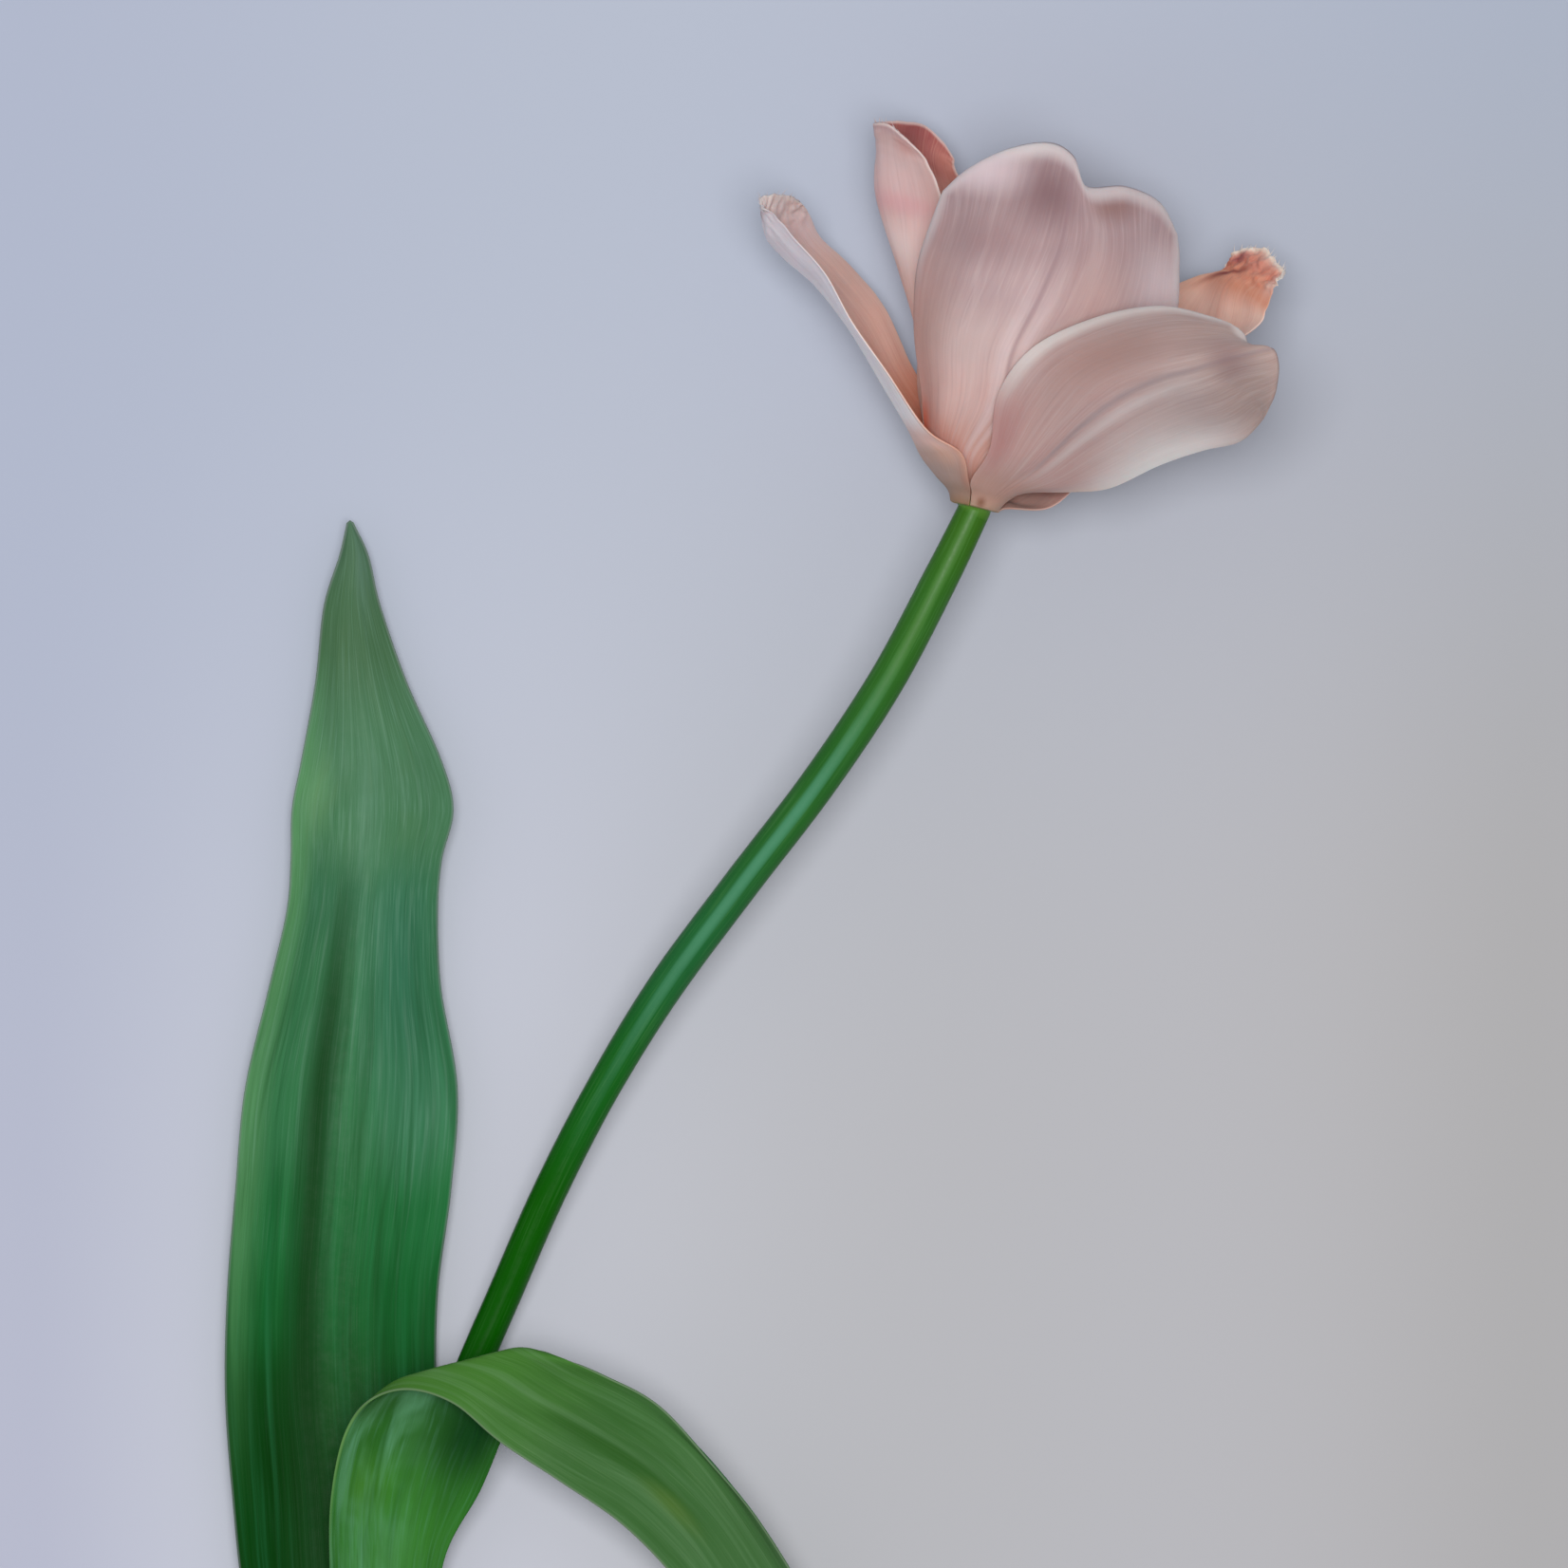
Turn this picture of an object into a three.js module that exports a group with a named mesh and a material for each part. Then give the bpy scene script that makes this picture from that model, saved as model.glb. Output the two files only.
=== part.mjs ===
// A cut tulip laid on its side: one bent stem, two long leaves and an open, six-petalled bloom.
// Millimetres, +Z up. The plant lies along Y with the bloom at +Y and the cut end of the stem at -Y.
import * as THREE from "three";

// Driving sizes
const STEM_RADII = [[0, 3.7], [0.25, 3.4], [0.6, 3.35], [0.68, 3.6], [0.85, 3.62], [0.93, 3.5], [1, 3.2]];
const STEM_SIDES = 14;
const STEM_RINGS = 52;
const PETAL_THICK = 0.9;
const PETAL_EDGE = 0.65;
const LEAF_THICK = 1.0;
const LEAF_EDGE = 0.75;
const SHEATH_RADIUS = 4.6;
const TALL_SHEATH_RADIUS = 5;
const SHOULDER_RADIUS = 3.9;
const NECK_RADIUS = 2.2;
const NECK_TOP = 2.8;
const CLAW_INNER = 2.85;
const CLAW_OUTER = 4.45;
const CLAW_INNER_START = 0.65;
const CLAW_OUTER_START = -0.9;
const OVARY_RADIUS = 2.9;
const OVARY_TOP = 20;
const STIGMA_RADIUS = 4.2;
const STAMEN_COUNT = 6;
const ANTHER_RADIUS = 1.2;

// Where the middle of the bounding box stands in the drawing the points below were measured in.
const CENTRE_X = -6.13;
const CENTRE_Y = -57.57;

// The bloom: its base, the way it points, and the way across it.
const BLOOM = new THREE.Vector3(37.4, 54.8, 34);
const AXIS = new THREE.Vector3(0.225, 0.974, 0).normalize();
const ACROSS = new THREE.Vector3(0.974, -0.225, 0).normalize();
const UP = new THREE.Vector3(0, 0, 1);

const rad = (deg) => deg * Math.PI / 180;

// A point of the bloom: along its axis, out from it, and round it (0 to the side, 90 up).
function cup(along, out, deg) {
  return BLOOM.clone()
    .addScaledVector(AXIS, along)
    .addScaledVector(ACROSS, out * Math.cos(rad(deg)))
    .addScaledVector(UP, out * Math.sin(rad(deg)));
}

// A row of five points on a ring of the bloom.
function ring(along, out, from, to) {
  const row = [];
  for (let k = 0; k < 5; k++) {
    row.push(cup(along, out, from + (to - from) * k / 4));
  }
  return row;
}

const points = (row) => row.map((p) => (p.isVector3 ? p.clone() : new THREE.Vector3(...p)));
const spline = (list) => new THREE.CatmullRomCurve3(list, false, "catmullrom", 0.5);

// One closed body from its corners and its triangles.
function body(name, corners, faces, color, roughness) {
  const flat = [];
  for (const face of faces) {
    for (const index of face) {
      flat.push(corners[index].x, corners[index].y, corners[index].z);
    }
  }
  const geometry = new THREE.BufferGeometry();
  geometry.setAttribute("position", new THREE.Float32BufferAttribute(flat, 3));
  geometry.computeVertexNormals();
  const material = new THREE.MeshStandardMaterial({ color, roughness, metalness: 0 });
  const mesh = new THREE.Mesh(geometry, material);
  mesh.name = name;
  return mesh;
}

// A thin blade through rows of points, base to tip, with the same triangles on both faces.
function blade(name, rows, across, along, thick, edge, color, roughness) {
  const rowCurves = rows.map((row) => spline(points(row)));
  const grid = [];
  for (let j = 0; j <= across; j++) {
    const column = spline(rowCurves.map((curve) => curve.getPoint(j / across)));
    for (let i = 0; i <= along; i++) {
      const point = column.getPoint(i / along);
      point.z = Math.max(point.z, thick / 2);
      grid[i] = grid[i] || [];
      grid[i][j] = point;
    }
  }
  const corners = [];
  const stride = across + 1;
  const half = (along + 1) * stride;
  const lift = [];
  for (let i = 0; i <= along; i++) {
    for (let j = 0; j <= across; j++) {
      const du = grid[Math.min(i + 1, along)][j].clone().sub(grid[Math.max(i - 1, 0)][j]);
      const dv = grid[i][Math.min(j + 1, across)].clone().sub(grid[i][Math.max(j - 1, 0)]);
      const normal = du.cross(dv).normalize();
      const v = 2 * j / across - 1;
      const t = edge + (thick - edge) * (1 - v * v * v * v);
      lift.push(normal.multiplyScalar(t / 2));
    }
  }
  for (const side of [1, -1]) {
    for (let i = 0; i <= along; i++) {
      for (let j = 0; j <= across; j++) {
        const point = grid[i][j].clone().addScaledVector(lift[i * stride + j], side);
        point.z = point.z < 0.08 ? 0 : point.z;
        corners.push(point);
      }
    }
  }
  const faces = [];
  for (let i = 0; i < along; i++) {
    for (let j = 0; j < across; j++) {
      const a = i * stride + j;
      const b = a + 1;
      const c = a + stride;
      const d = c + 1;
      faces.push([a, c, b], [b, c, d]);
      faces.push([half + a, half + b, half + c], [half + b, half + d, half + c]);
    }
  }
  const wall = (a, b) => faces.push([a, b, half + a], [b, half + b, half + a]);
  for (let j = 0; j < across; j++) {
    wall(j, j + 1);
    wall(along * stride + j + 1, along * stride + j);
  }
  for (let i = 0; i < along; i++) {
    wall((i + 1) * stride, i * stride);
    wall(i * stride + across, (i + 1) * stride + across);
  }
  return body(name, corners, faces, color, roughness);
}

// A closed tube through rings of corners, capped at both ends with a middle point.
function tube(name, rings, color, roughness) {
  const corners = rings.flat();
  const sides = rings[0].length;
  const faces = [];
  for (let i = 0; i + 1 < rings.length; i++) {
    for (let k = 0; k < sides; k++) {
      const n = (k + 1) % sides;
      const a = i * sides + k;
      const b = i * sides + n;
      faces.push([a, a + sides, b], [b, a + sides, b + sides]);
    }
  }
  const middle = (list) => list.reduce((sum, p) => sum.add(p), new THREE.Vector3()).divideScalar(sides);
  const first = corners.push(middle(rings[0])) - 1;
  const last = corners.push(middle(rings[rings.length - 1])) - 1;
  const end = (rings.length - 1) * sides;
  for (let k = 0; k < sides; k++) {
    const n = (k + 1) % sides;
    faces.push([first, k, n], [last, end + n, end + k]);
  }
  return body(name, corners, faces, color, roughness);
}

// A ring of corners round a centre, square to a direction, its radius given by the angle.
function hoop(centre, direction, sides, radius) {
  const side = new THREE.Vector3().crossVectors(direction, UP).normalize();
  const top = new THREE.Vector3().crossVectors(side, direction).normalize();
  const list = [];
  for (let k = 0; k < sides; k++) {
    const a = 2 * Math.PI * k / sides;
    const r = radius(a);
    list.push(centre.clone().addScaledVector(side, r * Math.cos(a)).addScaledVector(top, r * Math.sin(a)));
  }
  return list;
}

// Stem: the middle line from the cut end to just under the bloom.
const STEM_LINE = points([
  [-82.2, -245, 4.3], [-81.8, -225, 5], [-80.6, -205, 5.2], [-77.6, -180, 5.4], [-73.2, -153, 5.9],
  [-68.8, -136, 6.6], [-62.5, -118, 8], [-54.8, -100, 10], [-46, -80, 13], [-35.7, -60, 16.5],
  [-23.45, -40, 20.5], [-8.7, -20, 24.5], [6.6, 0, 28], [19.9, 20, 31], [30.5, 40, 33.2], [37.1, 53.4, 34],
]);

// The value at t of a list of [t, value] pairs, on straight lines between them.
function between(pairs, t) {
  const i = Math.max(1, pairs.findIndex(([at]) => at >= t));
  const [[t0, a], [t1, b]] = [pairs[i - 1], pairs[i]];
  return a + (b - a) * (t - t0) / (t1 - t0);
}

function stem() {
  const line = spline(STEM_LINE);
  const rings = [];
  for (let i = 0; i < STEM_RINGS; i++) {
    const t = i / STEM_RINGS;
    const r = between(STEM_RADII, t);
    rings.push(hoop(line.getPoint(t), line.getTangent(t), STEM_SIDES, () => r));
  }
  // The last few millimetres turn to face along the bloom.
  for (const [t, out, turn] of [[0.988, 3.22, 0.4], [1, 3.2, 1]]) {
    const facing = line.getTangent(t).lerp(AXIS, turn).normalize();
    rings.push(hoop(line.getPoint(t), facing, STEM_SIDES, () => out));
  }
  const cap = [[-0.75, SHOULDER_RADIUS - 0.1], [-0.5, SHOULDER_RADIUS], [0.1, SHOULDER_RADIUS - 0.1],
    [0.15, NECK_RADIUS + 0.05], [NECK_TOP - 0.4, NECK_RADIUS], [NECK_TOP, NECK_RADIUS - 0.4]];
  for (const [along, out] of cap) {
    rings.push(hoop(BLOOM.clone().addScaledVector(AXIS, along), AXIS, STEM_SIDES, () => out));
  }
  return tube("stem", rings, 0x4c8a35, 0.5);
}

// Petals: rows of points from the claw to the tip, each row from one margin to the other.
const INNER_FRONT = [
  ring(CLAW_INNER_START, CLAW_INNER, 150, 70),
  ring(2, 3.9, 152, 68),
  ring(4.2, 6.8, 156, 62),
  ring(9, 12.6, 158, 55),
  [[26.6, 77.2, 45], [32.4, 75.4, 52.5], [41.2, 73.4, 55], [50.9, 71.2, 52], [58.3, 69.5, 44]],
  [[25.3, 88.2, 44], [33, 86.6, 55.5], [44, 84.2, 60], [56.8, 81.1, 54.5], [67.5, 78.6, 43]],
  [[25.9, 100.4, 45], [36.6, 98.1, 58], [49.5, 95.4, 62], [63.4, 91.9, 55], [75.6, 89.1, 42]],
  [[28.9, 110, 47], [40.1, 108.5, 58], [53.5, 106.4, 60], [66.5, 104, 54], [76.8, 101, 43]],
  [[30.9, 115.2, 49], [36, 119.6, 52.5], [43.5, 123.1, 55.5], [51.4, 124.3, 57.5], [56.1, 121.5, 58.5],
    [58.4, 115.8, 58], [66, 115.9, 54.5], [72.8, 113, 50], [76.2, 107, 45]],
];
const OUTER_FRONT = [
  ring(CLAW_OUTER_START, CLAW_OUTER, 103, 6),
  ring(1.8, 6, 103, 8),
  ring(4.2, 9.4, 102, 10),
  [[39.9, 65.2, 51.5], [43.7, 63.6, 51], [48.8, 61.4, 48], [53, 58.8, 44], [56.1, 56.9, 39]],
  [[41.4, 75.6, 58], [49.3, 73.6, 60.5], [57.5, 69.5, 61], [61.5, 63, 53], [63.5, 57.6, 42]],
  [[48.2, 84.5, 62.2], [56, 80.8, 65.5], [64.8, 74.8, 67.5], [69.9, 67.8, 58.5], [73.1, 62, 45]],
  [[60.5, 90.2, 63.2], [66.6, 85, 69], [72.1, 78.1, 71.5], [77.9, 71, 62.5], [81.4, 64.8, 49]],
  [[72.3, 92.2, 64], [76.3, 87, 70.5], [79.5, 80, 74], [84.6, 72.9, 66.5], [88.2, 66.4, 54]],
  [[81.5, 90.2, 67], [84.2, 86.6, 72], [86, 82, 75.5], [89.6, 75.6, 69.5], [92, 69.7, 60]],
  [[86, 88.2, 69.5], [88.8, 86.5, 71.5], [89.8, 84, 73.5], [91.7, 83.6, 75], [94.2, 83.8, 76],
    [95.2, 81, 75.4], [95.2, 78, 73.4], [94.7, 75, 70.5], [93.2, 71.6, 65.5]],
];
const OUTER_LEFT = [
  ring(CLAW_OUTER_START, CLAW_OUTER, 106, 230),
  ring(1.6, 5.7, 105, 229),
  ring(4.1, 9.1, 106, 229),
  [[34.4, 64.3, 47.6], [29.8, 64.3, 44.4], [26.9, 64.5, 34], [28.3, 66, 25.5], [31.8, 68, 20.8]],
  [[27.6, 68.8, 50.2], [25.3, 69.4, 43], [24.2, 70.2, 33.5], [25.8, 72, 23.5], [29.5, 74.5, 17]],
  [[20.1, 79.6, 53.6], [19.7, 78.8, 45], [19.4, 78.5, 33], [20.7, 80, 22.5], [24.9, 82.4, 14.5]],
  [[13.2, 89.4, 54.6], [13.4, 88.7, 45.5], [13.3, 88.5, 33.5], [15.2, 90.2, 22.5], [19.8, 93.6, 13]],
  [[8, 98.8, 54.8], [7.2, 97.9, 46], [6.5, 97.1, 35], [8.4, 98.8, 23.5], [13, 101.8, 14.5]],
  [[2.2, 105.6, 52], [1, 104.2, 46], [-0.1, 102.9, 37], [2.7, 104.9, 27], [7.2, 107.2, 19]],
  [[-1.6, 110.3, 48], [-3, 109, 44.5], [-3.6, 108, 39], [0.2, 110, 31], [4.8, 111.8, 26]],
  [[-4.4, 111.5, 44.5], [-4.8, 114.2, 42], [-2, 115.2, 39.5], [1, 115, 36], [3.4, 113.6, 31]],
];
const INNER_BACK = [
  ring(CLAW_INNER_START, CLAW_INNER, 190, 270),
  ring(2, 3.9, 188, 272),
  ring(4.2, 6.8, 185, 275),
  ring(9, 11.8, 182, 285),
  [[27.1, 76.7, 35], [26.6, 76.8, 28], [29.5, 76.1, 21], [37.3, 74.3, 16], [45.5, 72, 15.5]],
  [[28.6, 87.6, 37], [26.1, 88.2, 28], [28.6, 87.6, 18], [37.3, 85.4, 11], [47, 82.7, 9]],
  [[28.6, 100, 39], [22.7, 101.4, 28], [25.2, 100.8, 17], [35.2, 98.4, 9], [46.9, 95.7, 6]],
  [[31, 112, 40.5], [18.9, 115.2, 29], [21.6, 113.9, 20], [30, 111.9, 13.5], [40.8, 109.4, 10]],
  [[27.9, 121, 40.5], [18.7, 124, 31], [21.6, 123.2, 25], [27.7, 122.5, 18], [34.2, 119.5, 17]],
  [[24, 125.5, 39.5], [20.5, 128.6, 38], [17.6, 129, 34], [20, 129.5, 30], [24.3, 129.8, 26],
    [27.8, 128.9, 22.5], [31.3, 126, 20], [33.4, 122.6, 18.5]],
];
const INNER_RIGHT = [
  ring(CLAW_INNER_START, CLAW_INNER, 305, 385),
  ring(2, 3.9, 303, 387),
  ring(4.2, 7, 300, 390),
  ring(9, 13, 295, 395),
  [[48.8, 70.6, 13.5], [58, 68.5, 18.5], [64, 67.1, 28], [64.8, 67, 38], [61.4, 67.7, 46.5]],
  [[53.9, 81.8, 9], [66.5, 78.8, 15], [74.3, 77, 26], [76.3, 76.5, 38], [72.4, 77.4, 47]],
  [[63.4, 91.9, 10], [76.1, 89, 15], [83.4, 87.3, 26], [88.3, 87.6, 34], [90.8, 88, 42]],
  [[80.4, 99.4, 14], [83.5, 98.6, 19], [86.5, 97, 26.5], [90.5, 95, 33], [94, 92.5, 39.5]],
  [[85.5, 100, 19], [87.6, 100.8, 23], [90, 100.3, 28], [92.8, 98, 33], [95.6, 96.5, 37.5]],
  [[86.8, 102.3, 21], [88.2, 104.4, 23], [90.9, 105.2, 25.5], [94.2, 104.8, 28], [95.8, 103, 31],
    [97.8, 100.8, 34], [96.4, 98.4, 36.5]],
];
const OUTER_UNDER = [
  ring(CLAW_OUTER_START, CLAW_OUTER, 358, 238),
  [cup(0.3, 6.3, 356), cup(1.2, 6.1, 327), cup(1.8, 6, 298), cup(1.8, 6, 269), cup(1.8, 6, 240)],
  [[51.6, 53.8, 33.5], [46.6, 54.6, 28], [41.7, 57, 25.4], [37.6, 58.9, 24.9], [34.4, 60, 25.9]],
  [[57.4, 58.4, 31], [53, 60, 23], [48, 61.6, 18.5], [42, 63.2, 17.6], [35.8, 64.4, 19]],
  [[65.3, 66.8, 22.6], [58.4, 68.4, 14.7], [49, 70.6, 10.2], [41.5, 72.3, 9.5], [34.2, 74, 11.2]],
  [[72, 77.6, 17.5], [64.2, 79.4, 9.5], [53.4, 81.9, 4.5], [44.2, 84, 3.5], [34, 86.3, 5.3]],
  [[74.2, 85.3, 9.5], [65.7, 88.3, 3], [56.3, 92.4, 0.45], [46.6, 94.7, 0.45], [37, 97, 2.5]],
  [[71.1, 98.3, 7], [65, 100, 2], [57.4, 101.5, 0.45], [49, 103.5, 0.45], [40.9, 105.3, 2.5]],
  [[68.5, 103, 6.5], [64, 107.3, 4], [58.5, 109.3, 2.5], [52, 110.5, 2.2], [46, 109, 3]],
];

// Leaves: the same, the first row being the sheath round the stem.
function sheath(x, y, z, radius, from, to) {
  const row = [];
  for (let k = 0; k < 5; k++) {
    const a = rad(from + (to - from) * k / 4);
    row.push([x + radius * Math.cos(a), y, z + radius * Math.sin(a)]);
  }
  return row;
}
const TALL = [
  sheath(-81.8, -226, 5.5, TALL_SHEATH_RADIUS, 190, 350),
  [[-88.2, -216, 5.4], [-85.6, -216, 1.9], [-81.6, -216, 0.5], [-77.6, -216, 1.7], [-75.2, -216, 5]],
  [[-95.5, -200, 5.6], [-90.5, -200, 1.6], [-84, -200, 0.5], [-78, -200, 0.5], [-72.5, -200, 2.5]],
  [[-101.8, -180, 6.5], [-94, -180, 2.2], [-85.5, -180, 0.5], [-77.5, -180, 0.5], [-70, -180, 1.5]],
  [[-106.4, -160, 7.5], [-97.5, -160, 2.6], [-87.5, -160, 0.5], [-77.5, -160, 0.5], [-68, -160, 1.2]],
  [[-108.6, -140, 8], [-99, -140, 2.8], [-89, -140, 0.5], [-78.5, -140, 0.5], [-67.5, -140, 1.2]],
  [[-110, -120, 8], [-100.5, -120, 2.8], [-90.5, -120, 0.5], [-80, -120, 0.8], [-68.5, -120, 3]],
  [[-109.6, -100, 8], [-100.3, -100, 2.8], [-90.5, -100, 0.5], [-80, -100, 1.6], [-68.1, -100, 6]],
  [[-108, -80, 8], [-98.8, -80, 2.8], [-89, -80, 0.5], [-78, -80, 1.8], [-65.5, -80, 7]],
  [[-106.1, -60, 7.5], [-97.2, -60, 2.6], [-87.5, -60, 0.5], [-76.6, -60, 2.2], [-64.2, -60, 8]],
  [[-101.4, -40, 7], [-93.7, -40, 2.4], [-85.5, -40, 0.6], [-77, -40, 2], [-67.5, -40, 6.5]],
  [[-97.9, -25, 7], [-91.2, -25, 2.6], [-84, -25, 1], [-76.6, -25, 2.4], [-68.1, -25, 7]],
  [[-97.1, -15, 7], [-90.3, -15, 3], [-83, -15, 1.5], [-75.6, -15, 3], [-67.3, -15, 8]],
  [[-96.9, -5, 6.5], [-89.8, -5, 3.2], [-82.5, -5, 2], [-74.3, -5, 3.8], [-65, -5, 9]],
  [[-95, 5, 6], [-88.8, 5, 3.4], [-82.5, 5, 2.5], [-75.5, 5, 3.8], [-67.5, 5, 8]],
  [[-92.3, 20, 6], [-88, 20, 3.6], [-84, 20, 3], [-79.4, 20, 3.8], [-74.2, 20, 6.5]],
  [[-90.6, 35, 6.5], [-87.4, 35, 4.6], [-85, 35, 4], [-82.3, 35, 4.6], [-79.4, 35, 6.5]],
  [[-87.5, 45, 7], [-86.2, 45.2, 5.9], [-84.6, 45.3, 5.5], [-83.3, 45.2, 5.9], [-81.8, 45, 7]],
  [[-86, 51.4, 7.2], [-85.7, 51.7, 7], [-85.4, 51.9, 7], [-85.1, 51.7, 7], [-84.8, 51.4, 7.2]],
];
const FOLDED = [
  sheath(-80.7, -206, 5.4, SHEATH_RADIUS, 170, 10),
  [[-86, -192, 7], [-83.2, -192, 10.6], [-79.2, -192, 12], [-75, -192, 10.6], [-72.3, -192, 7]],
  [[-88, -175, 8], [-84, -174.5, 12.2], [-77.5, -174, 14], [-72.5, -174, 12.6], [-69.6, -174, 9]],
  [[-89.3, -154, 9.5], [-84.8, -153.5, 14], [-77.5, -153, 16.5], [-71, -152.5, 15], [-66.8, -152.5, 12]],
  [[-89, -140, 11.5], [-84, -138.5, 16], [-75.5, -137, 19.5], [-66.5, -136.5, 19.5], [-59.5, -138.5, 17.5]],
  [[-86.3, -127.5, 15.5], [-81.2, -125.8, 18.5], [-72, -125, 22.5], [-62, -126, 24.5], [-54.5, -126.5, 23.5]],
  [[-81.4, -120.9, 23.5], [-77, -118.2, 24.5], [-68.5, -116.5, 28], [-59, -116.5, 30.5], [-50.5, -118, 30]],
  [[-73.6, -118.3, 31.5], [-70, -115.2, 31], [-62, -112.8, 34.5], [-54, -110.7, 37], [-48.5, -111, 37.5]],
  [[-64.5, -120.8, 36], [-61.2, -117.4, 36], [-54.5, -113.8, 38], [-48.5, -111.3, 40.5], [-43, -111.8, 41.5]],
  [[-55.5, -128.2, 36], [-51.5, -124, 36.6], [-46, -119, 38], [-40.5, -115.3, 40.3], [-34.8, -115.1, 43]],
  [[-44, -135.8, 36], [-39.5, -131, 36.2], [-34.5, -125.8, 37.5], [-29.3, -121, 39.8], [-24.2, -121, 42]],
  [[-32, -144.2, 33], [-27.5, -139, 33], [-22.5, -134, 34.2], [-17.8, -129.6, 36], [-14.2, -132.2, 38]],
  [[-22, -154.5, 27.5], [-17.5, -149.5, 27], [-12.5, -145, 28], [-8.5, -141.5, 29.5], [-4.8, -144, 31.5]],
  [[-12, -168, 19], [-7.5, -164.5, 18.6], [-3, -161, 19.4], [1.5, -158.5, 20.6], [5, -160.5, 22]],
  [[-2, -182, 10.5], [2.5, -179.5, 10.2], [6, -177.5, 10.6], [9.5, -176, 11.4], [12.5, -178, 12.5]],
  [[9, -194, 3.6], [11.5, -192.5, 3.6], [13.8, -191.5, 3.8], [16, -191, 4.2], [17.8, -192, 4.6]],
  [[19.3, -204.4, 0.5], [19.9, -204.6, 0.5], [20.5, -204.8, 0.5], [21.1, -204.6, 0.5], [21.7, -204.4, 0.5]],
];

// Pistil: a three-sided ovary with a three-lobed stigma on top.
function pistil() {
  const profile = [[3.1, 1.5, 0], [3.4, 1.9, 0.02], [6, 2.5, 0.06], [10, OVARY_RADIUS, 0.09],
    [14, OVARY_RADIUS - 0.1, 0.09], [17.5, 2.4, 0.08], [OVARY_TOP - 0.6, 2.1, 0.08],
    [OVARY_TOP + 0.6, 2.8, 0.2], [OVARY_TOP + 1.8, STIGMA_RADIUS, 0.32],
    [OVARY_TOP + 2.8, STIGMA_RADIUS, 0.34], [OVARY_TOP + 3.3, 3.3, 0.34], [OVARY_TOP + 2.9, 1.6, 0.2]];
  const rings = profile.map(([along, out, lobe]) => {
    const centre = BLOOM.clone().addScaledVector(AXIS, along);
    return hoop(centre, AXIS, 18, (a) => out * (1 + lobe * Math.cos(3 * a)));
  });
  return tube("pistil", rings, 0xb7c06a, 0.55);
}

// Stamen: a thin filament that swells into a long anther.
function stamen(index) {
  const deg = 20 + index * 360 / STAMEN_COUNT;
  const line = spline([cup(2.5, 3.15, deg), cup(6, 4.2, deg), cup(12, 5.4, deg), cup(18, 6.6, deg),
    cup(25, 8, deg)]);
  const profile = [[0, 0.4], [0.04, 0.55], [0.3, 0.62], [0.5, 0.45], [0.53, 0.5], [0.57, 0.95],
    [0.66, ANTHER_RADIUS], [0.85, ANTHER_RADIUS], [0.95, 0.85], [1, 0.4]];
  const rings = profile.map(([t, out]) => {
    const flat = t > 0.52 ? 0.18 : 0;
    return hoop(line.getPoint(t), line.getTangent(t), 8, (a) => out * (1 + flat * Math.cos(2 * a)));
  });
  return tube("stamen_" + (index + 1), rings, 0x6a4a3a, 0.8);
}

const plant = new THREE.Group();
plant.name = "plant";
plant.position.set(-CENTRE_X, -CENTRE_Y, 0);
plant.add(stem());
plant.add(blade("leaf_tall", TALL, 8, 34, LEAF_THICK, LEAF_EDGE, 0x3f7d4b, 0.55));
plant.add(blade("leaf_folded", FOLDED, 8, 40, LEAF_THICK, LEAF_EDGE, 0x4a8a3a, 0.55));
plant.add(blade("petal_outer_front", OUTER_FRONT, 14, 20, PETAL_THICK, PETAL_EDGE, 0xc9a6a4, 0.7));
plant.add(blade("petal_outer_left", OUTER_LEFT, 12, 20, PETAL_THICK, PETAL_EDGE, 0xc9a29c, 0.7));
plant.add(blade("petal_outer_under", OUTER_UNDER, 12, 18, PETAL_THICK, PETAL_EDGE, 0xc39c96, 0.7));
plant.add(blade("petal_inner_front", INNER_FRONT, 16, 20, PETAL_THICK, PETAL_EDGE, 0xd0b0b0, 0.7));
plant.add(blade("petal_inner_back", INNER_BACK, 14, 20, PETAL_THICK, PETAL_EDGE, 0xd39a88, 0.7));
plant.add(blade("petal_inner_right", INNER_RIGHT, 14, 20, PETAL_THICK, PETAL_EDGE, 0xd98e74, 0.7));
plant.add(pistil());
for (let index = 0; index < STAMEN_COUNT; index++) {
  plant.add(stamen(index));
}

const root = new THREE.Group();
root.name = "tulip";
root.add(plant);
export default root;
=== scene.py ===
"""A cut tulip laid on its side: bent stem, two long leaves and an open bloom of six petals.

Lengths in the tables of points are millimetres of the drawing that the solid part was made from.
Every mesh is in metres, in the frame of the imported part.
"""

import math
from functools import partialmethod
from types import SimpleNamespace

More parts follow.
